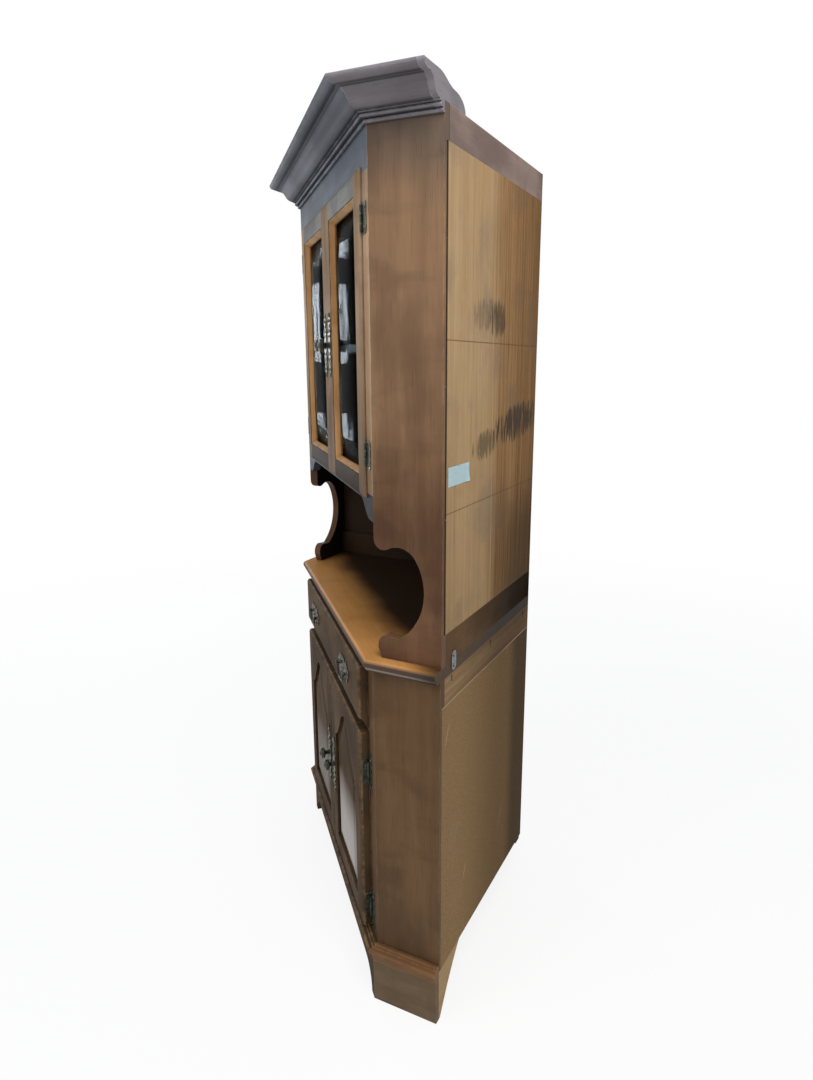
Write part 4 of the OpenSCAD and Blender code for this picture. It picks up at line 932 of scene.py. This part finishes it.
def make_drawer_plates():
    """Both batwing plates with their posts, in place of the plain CAD ones."""
    low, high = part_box("drawer_pull_plates")
    bail_low, bail_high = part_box("drawer_bail_right")
    middle_x = (bail_low.x + bail_high.x) / 2
    middle_z = (low.z + high.z) / 2
    half_w, half_h = high.x - middle_x, (high.z - low.z) / 2
    outline = plate_outline(mirrored(BATWING_HALF, True, False), half_w, half_h)
    loops = [outline] + [circle(s * x * half_w, z * half_h, r * half_w, 14)
                         for x, z, r in BATWING_HOLES for s in (-1, 1)]
    plate = [cut_plate(loops, PLATE_T, 0.0004)] + [rim(loop, PLATE_T, RIM_R) for loop in loops]
    plate.append(lathe(BOSS_PROFILE, 24))
    post = lathe(POST_PROFILE, 24)
    parts = []
    for side in SIDES.values():
        here = at(side * middle_x, high.y, middle_z)
        parts += [(mesh, here) for mesh in plate]
        parts += [(post, here @ at(m * POST_HALF, -PLATE_T, 0)) for m in (-1, 1)]
    add_piece("drawer_pull_plates_detail", parts, BRASS, "drawer",
              ("drawer_pull_plates",))


# Bail: half the distance of its arms, where its pins end, radii of bar and pins, and how far its
# path stays inside the plain bail's box at the top and the bottom
BAIL_HALF = 0.0279
PIN_END = 0.0392
BAIL_R = 0.0019
PIN_R = 0.0015
BAIL_WRAP = 0.0025
BAIL_STEPS = 64
# Powers that square off its curve, across and down
BAIL_POWERS = (0.62, 0.72)
# Swellings of the bar: distance from its middle, height and half length
SWELLS = ((0.0, 0.0012, 0.007), (0.0125, 0.0007, 0.0011))


def make_bail(side_name):
    """Cast bail: pins in the posts, curved arms, and a bar that swells in the middle."""
    node = "drawer_bail_" + side_name
    low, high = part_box(node)
    middle = (low + high) / 2
    pivot_z = high.z - BAIL_WRAP
    drop = pivot_z - low.z - BAIL_WRAP
    path, radii = [], []
    for i in range(BAIL_STEPS + 1):
        turn = math.pi * i / BAIL_STEPS
        c, s = math.cos(turn), math.sin(turn)
        x = math.copysign(abs(c) ** BAIL_POWERS[0], c) * BAIL_HALF
        path.append((middle.x + x, middle.y, pivot_z - drop * s ** BAIL_POWERS[1]))
        radius = BAIL_R
        for place, height, half in SWELLS:
            radius += height * math.exp(-((abs(x) - place) / half) ** 2)
        radii.append(radius)
    parts = [(tube(path, radii), Matrix())]
    for sign in (-1, 1):
        pin = [(middle.x + sign * x, middle.y, pivot_z) for x in (BAIL_HALF, PIN_END)]
        parts.append((tube(pin, [PIN_R, PIN_R]), Matrix()))
    add_piece(node + "_detail", parts, BRASS, "bail_" + side_name, (node,))


# Share of a screw head's radius that its slot takes on either side of the middle
SLOT_SHARE = 0.14


def screw_head(radius, height):
    """Round screw head with a driving slot, as (mesh, matrix) parts on y = 0."""
    disc = [(radius, 0.0), (radius, height * 0.45), (radius * 0.9, height * 0.5), (0, height * 0.5)]
    parts = [(lathe(disc, 20), Matrix())]
    start = math.asin(SLOT_SHARE)
    for side in (-1, 1):
        turns = [start + (math.pi - 2 * start) * i / 10 for i in range(11)]
        outline = [(radius * 0.92 * math.cos(a), side * radius * 0.92 * math.sin(a)) for a in turns]
        parts.append((prism(outline, height * 0.4, height), Matrix()))
    return parts


def add_screws(name, places, look, body, radius=0.0032, height=0.0012):
    """Screw heads at (place, direction, turn)."""
    head = screw_head(radius, height)
    parts = [(mesh, facing(place, direction, turn) @ matrix)
             for place, direction, turn in places for mesh, matrix in head]
    add_piece(name, parts, look, body)


FRONT = (0, -1, 0)
# Screws of a hinge leaf: height from its middle, and turn of the slot
LEAF_SCREWS = ((-0.016, 0.3), (0.016, 1.2))
# Hinge leaves by door: node, height, spread of the screws, and how far the leaf's face lies behind
# the node's front
LEAVES = {"upper": ("upper_hinge_frames", 0.052, 1.0, 0.0047),
          "lower": ("lower_hinge_frames", 0.096, 2.0, 0.0049)}
# Distance of the screws from the outer edge of a leaf
LEAF_EDGE = 0.0095


def make_hinge_screws():
    """Screws in the frame leaves of the door hinges."""
    for level, (node, leaf_h, spread, face) in LEAVES.items():
        low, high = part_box(node)
        x, y = high.x - LEAF_EDGE, low.y + face
        places = [((side * x, y, z + rise * spread), FRONT, turn + z * 9)
                  for side in (-1, 1) for z in (low.z + leaf_h / 2, high.z - leaf_h / 2)
                  for rise, turn in LEAF_SCREWS]
        add_screws(level + "_hinge_screws", places, BRASS, "root", 0.0028, 0.0009)


# Mending plate: its middle's distance along the wall, thickness, and height of its screws
STRAP_ALONG = 0.0575
STRAP_T = 0.002
STRAP_SCREW_Z = 0.011
# Screw pockets: shares of the wall's length, tilt in degrees, and how far the screw heads lie
# behind the rail's face and below its top
POCKETS = (0.1, 0.5, 0.92)
POCKET_TILT = 15
POCKET_IN = 0.0035
POCKET_DROP = 0.017


def make_wall_screws():
    """Screws of the mending plates and in the slanting pockets of the base back rails."""
    low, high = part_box("mending_plates")
    middle_z = (low.z + high.z) / 2
    places = [(wall_place(side, STRAP_ALONG, STRAP_T, middle_z + k * STRAP_SCREW_Z), wall_out(side),
               0.5 + k + side) for side in (-1, 1) for k in (-1, 1)]
    add_screws("mending_plate_screws", places, ZINC, "root", 0.0040, 0.0015)
    rail_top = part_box("base_back_rails")[1].z
    wall_length = (WALL_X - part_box("base_back_board")[1].x) * ROOT2
    tilt = math.radians(POCKET_TILT)
    places = []
    for side in (-1, 1):
        direction = wall_out(side) * math.sin(tilt) - Vector(UP) * math.cos(tilt)
        for share in POCKETS:
            place = wall_place(side, wall_length * share, -POCKET_IN, rail_top - POCKET_DROP)
            places.append((place, direction, share * 7))
    add_screws("pocket_screws", places, ZINC, "root", 0.0038, 0.0015)


NAIL_PROFILE = [(0.0016, 0), (0.0016, 0.0005), (0.0010, 0.0009), (0, 0.0010)]
# Nail heads along the front edge of the veneer: (distance along the wall, height)
NAILS = ((0.012, 1.581), (0.014, 1.572), (0.013, 1.330), (0.019, 1.093), (0.021, 0.959))


def make_nails():
    """Small nail heads that hold the side backs of the upper cabinet."""
    head = lathe(NAIL_PROFILE, 12)
    parts = [(head, facing(wall_place(side, along, 0, z), wall_out(side)))
             for side in (-1, 1) for along, z in NAILS]
    add_piece("veneer_nails", parts, ZINC, "root")


# Tag: its ends along the wall, its edges' heights, its distance from the veneer, and how much
# further the corner lifts
TAG_ALONG = (0.028, 0.122)
TAG_Z = (1.151, 1.187)
TAG_OFF = 0.0003
TAG_LIFT = 0.0025


def make_tag():
    """Blank paper tag stuck on the right wall side, lifting a little at its lower rear corner."""
    bm = bmesh.new()
    columns, rows = 16, 8
    grid = []
    for i in range(columns + 1):
        line = []
        for k in range(rows + 1):
            u, v = i / columns, k / rows
            along = TAG_ALONG[0] + (TAG_ALONG[1] - TAG_ALONG[0]) * u
            z = TAG_Z[0] + (TAG_Z[1] - TAG_Z[0]) * v
            out = TAG_OFF + TAG_LIFT * max(0.0, u - 0.8) * max(0.0, 0.5 - v) * 10
            line.append(bm.verts.new(wall_place(1, along, out, z)))
        grid.append(line)
    for i in range(columns):
        for k in range(rows):
            bm.faces.new((grid[i][k], grid[i + 1][k], grid[i + 1][k + 1], grid[i][k + 1]))
    bmesh.ops.solidify(bm, geom=bm.faces[:], thickness=0.0002)
    add_piece("paper_tag", [(to_mesh(bm, "tag"), Matrix())], paper(), "root")


# Stage, light and camera

def background_mask(tree):
    """1 for rays that look at the background straight, in a reflection or through glass."""
    path = tree.nodes.new("ShaderNodeLightPath")
    seen = path.outputs["Is Camera Ray"]
    for name in ("Is Glossy Ray", "Is Transmission Ray"):
        most = tree.nodes.new("ShaderNodeMath")
        most.operation = "MAXIMUM"
        tree.links.new(seen, most.inputs[0])
        tree.links.new(path.outputs[name], most.inputs[1])
        seen = most.outputs[0]
    return seen


def mix_shaders(tree, factor, first, second, output):
    """Sends two shaders to an output, the second where factor is 1."""
    both = tree.nodes.new("ShaderNodeMixShader")
    for source, socket in zip((factor, first, second), both.inputs):
        tree.links.new(source, socket)
    tree.links.new(both.outputs[0], tree.nodes[output].inputs[0])


def make_world():
    """Soft sky light in front of a white background."""
    world = bpy.data.worlds.new("studio")
    world.use_nodes = True
    bpy.context.scene.world = world
    tree = world.node_tree
    sky = tree.nodes["Background"]
    sky.inputs["Color"].default_value = (0.93, 0.96, 1.0, 1.0)
    sky.inputs["Strength"].default_value = 0.5
    white = tree.nodes.new("ShaderNodeBackground")
    white.inputs["Color"].default_value = (1, 1, 1, 1)
    white.inputs["Strength"].default_value = 1.0
    mix_shaders(tree, background_mask(tree), sky.outputs[0], white.outputs[0], "World Output")


# Ground: half its width, and its height just under the feet
FLOOR_HALF = 12
FLOOR_Z = -0.0005


def make_floor():
    """White ground that still takes the cabinet's shadow."""
    g = Graph("stage_floor")
    g.set(Base_Color=(0.97, 0.97, 0.97, 1), Roughness=0.9)
    glow = g.node("ShaderNodeEmission")
    far = g.node("ShaderNodeVectorMath", operation="LENGTH")
    g.put(g.place, far.inputs[0])
    glare = g.span(far.outputs["Value"], 0.8, 4.0, 0.85, 1.0, True)
    mix_shaders(g.tree, g.times(background_mask(g.tree), glare), g.bsdf.outputs[0],
                glow.outputs[0], "Material Output")
    mesh = bpy.data.meshes.new("stage_floor")
    corners = [(x * FLOOR_HALF, y * FLOOR_HALF, FLOOR_Z)
               for x, y in ((-1, -1), (1, -1), (1, 1), (-1, 1))]
    mesh.from_pydata(corners, [], [(0, 1, 2, 3)])
    mesh.materials.append(g.mat)
    new_object("stage_floor", mesh)


def area_light(name, place, aim, size, watts, colour=(1, 1, 1)):
    data = bpy.data.lights.new(name, "AREA")
    data.shape = "RECTANGLE"
    data.size, data.size_y = size
    data.energy = watts
    data.color = colour
    lamp = new_object(name, data)
    lamp.location = place
    lamp.rotation_euler = (Vector(aim) - Vector(place)).to_track_quat("-Z", "Y").to_euler()


# Narrow panes that the door glass mirrors: height of the middle, height of the pane, and watts
PANES = ((0.84, 0.40, 4.6), (1.60, 0.46, 6.2), (2.12, 0.24, 3.0))
PANE_W = 0.20


def make_lights():
    area_light("key", (1.75, -0.1, 3.05), (0.3, 0.0, 1.2), (1.2, 1.2), 42, (1.0, 0.98, 0.95))
    area_light("front", (1.0, -3.0, 2.8), (0.0, 0.0, 1.1), (2.0, 2.0), 32, (0.97, 0.98, 1.0))
    for z, height, watts in PANES:
        area_light("window", (-2.9, -0.76, z), (0.0, -0.15, z - 0.1), (PANE_W, height), watts,
                   (0.90, 0.95, 1.0))


# The photograph's camera, from a fit to the cabinet's edges: place, turn in degrees, and focal
# length, point straight ahead and frame in pixels
CAMERA_PLACE = (1.65624, -0.50679, 1.37097)
CAMERA_YAW, CAMERA_PITCH, CAMERA_ROLL = 159.707, -13.398, 0.519
FOCAL = 715.277
AHEAD_X, AHEAD_Y = 453.49, 533.15
FRAME_W, FRAME_H = 813, 1080
SENSOR = 36


def make_camera():
    """Camera at the photograph's place, with its turn and lens."""
    yaw, pitch, roll = (math.radians(a) for a in (CAMERA_YAW, CAMERA_PITCH, CAMERA_ROLL))
    level = Vector((math.cos(yaw), math.sin(yaw), 0))
    ahead = math.cos(pitch) * level + math.sin(pitch) * Vector(UP)
    right = Vector((math.sin(yaw), -math.cos(yaw), 0))
    up = right.cross(ahead)
    right, up = (math.cos(roll) * right + math.sin(roll) * up,
                 math.cos(roll) * up - math.sin(roll) * right)
    data = bpy.data.cameras.new("camera")
    data.sensor_width = SENSOR
    data.lens = FOCAL / FRAME_H * SENSOR
    data.shift_x = (FRAME_W / 2 - AHEAD_X) / FRAME_H
    data.shift_y = (AHEAD_Y - FRAME_H / 2) / FRAME_H
    data.clip_start, data.clip_end = 0.05, 60
    camera = new_object("camera", data)
    turn = Matrix((right, up, -ahead)).transposed().to_4x4()
    camera.matrix_world = Matrix.Translation(CAMERA_PLACE) @ turn
    bpy.context.scene.camera = camera


dress_nodes()
for side_name in SIDES:
    for level in ("upper", "lower"):
        make_door_pull(f"{level}_door_{side_name}")
    make_bail(side_name)
make_drawer_plates()
make_hinge_screws()
make_wall_screws()
make_nails()
make_tag()
make_world()
make_floor()
make_lights()
make_camera()
bpy.context.scene.view_settings.view_transform = "Standard"
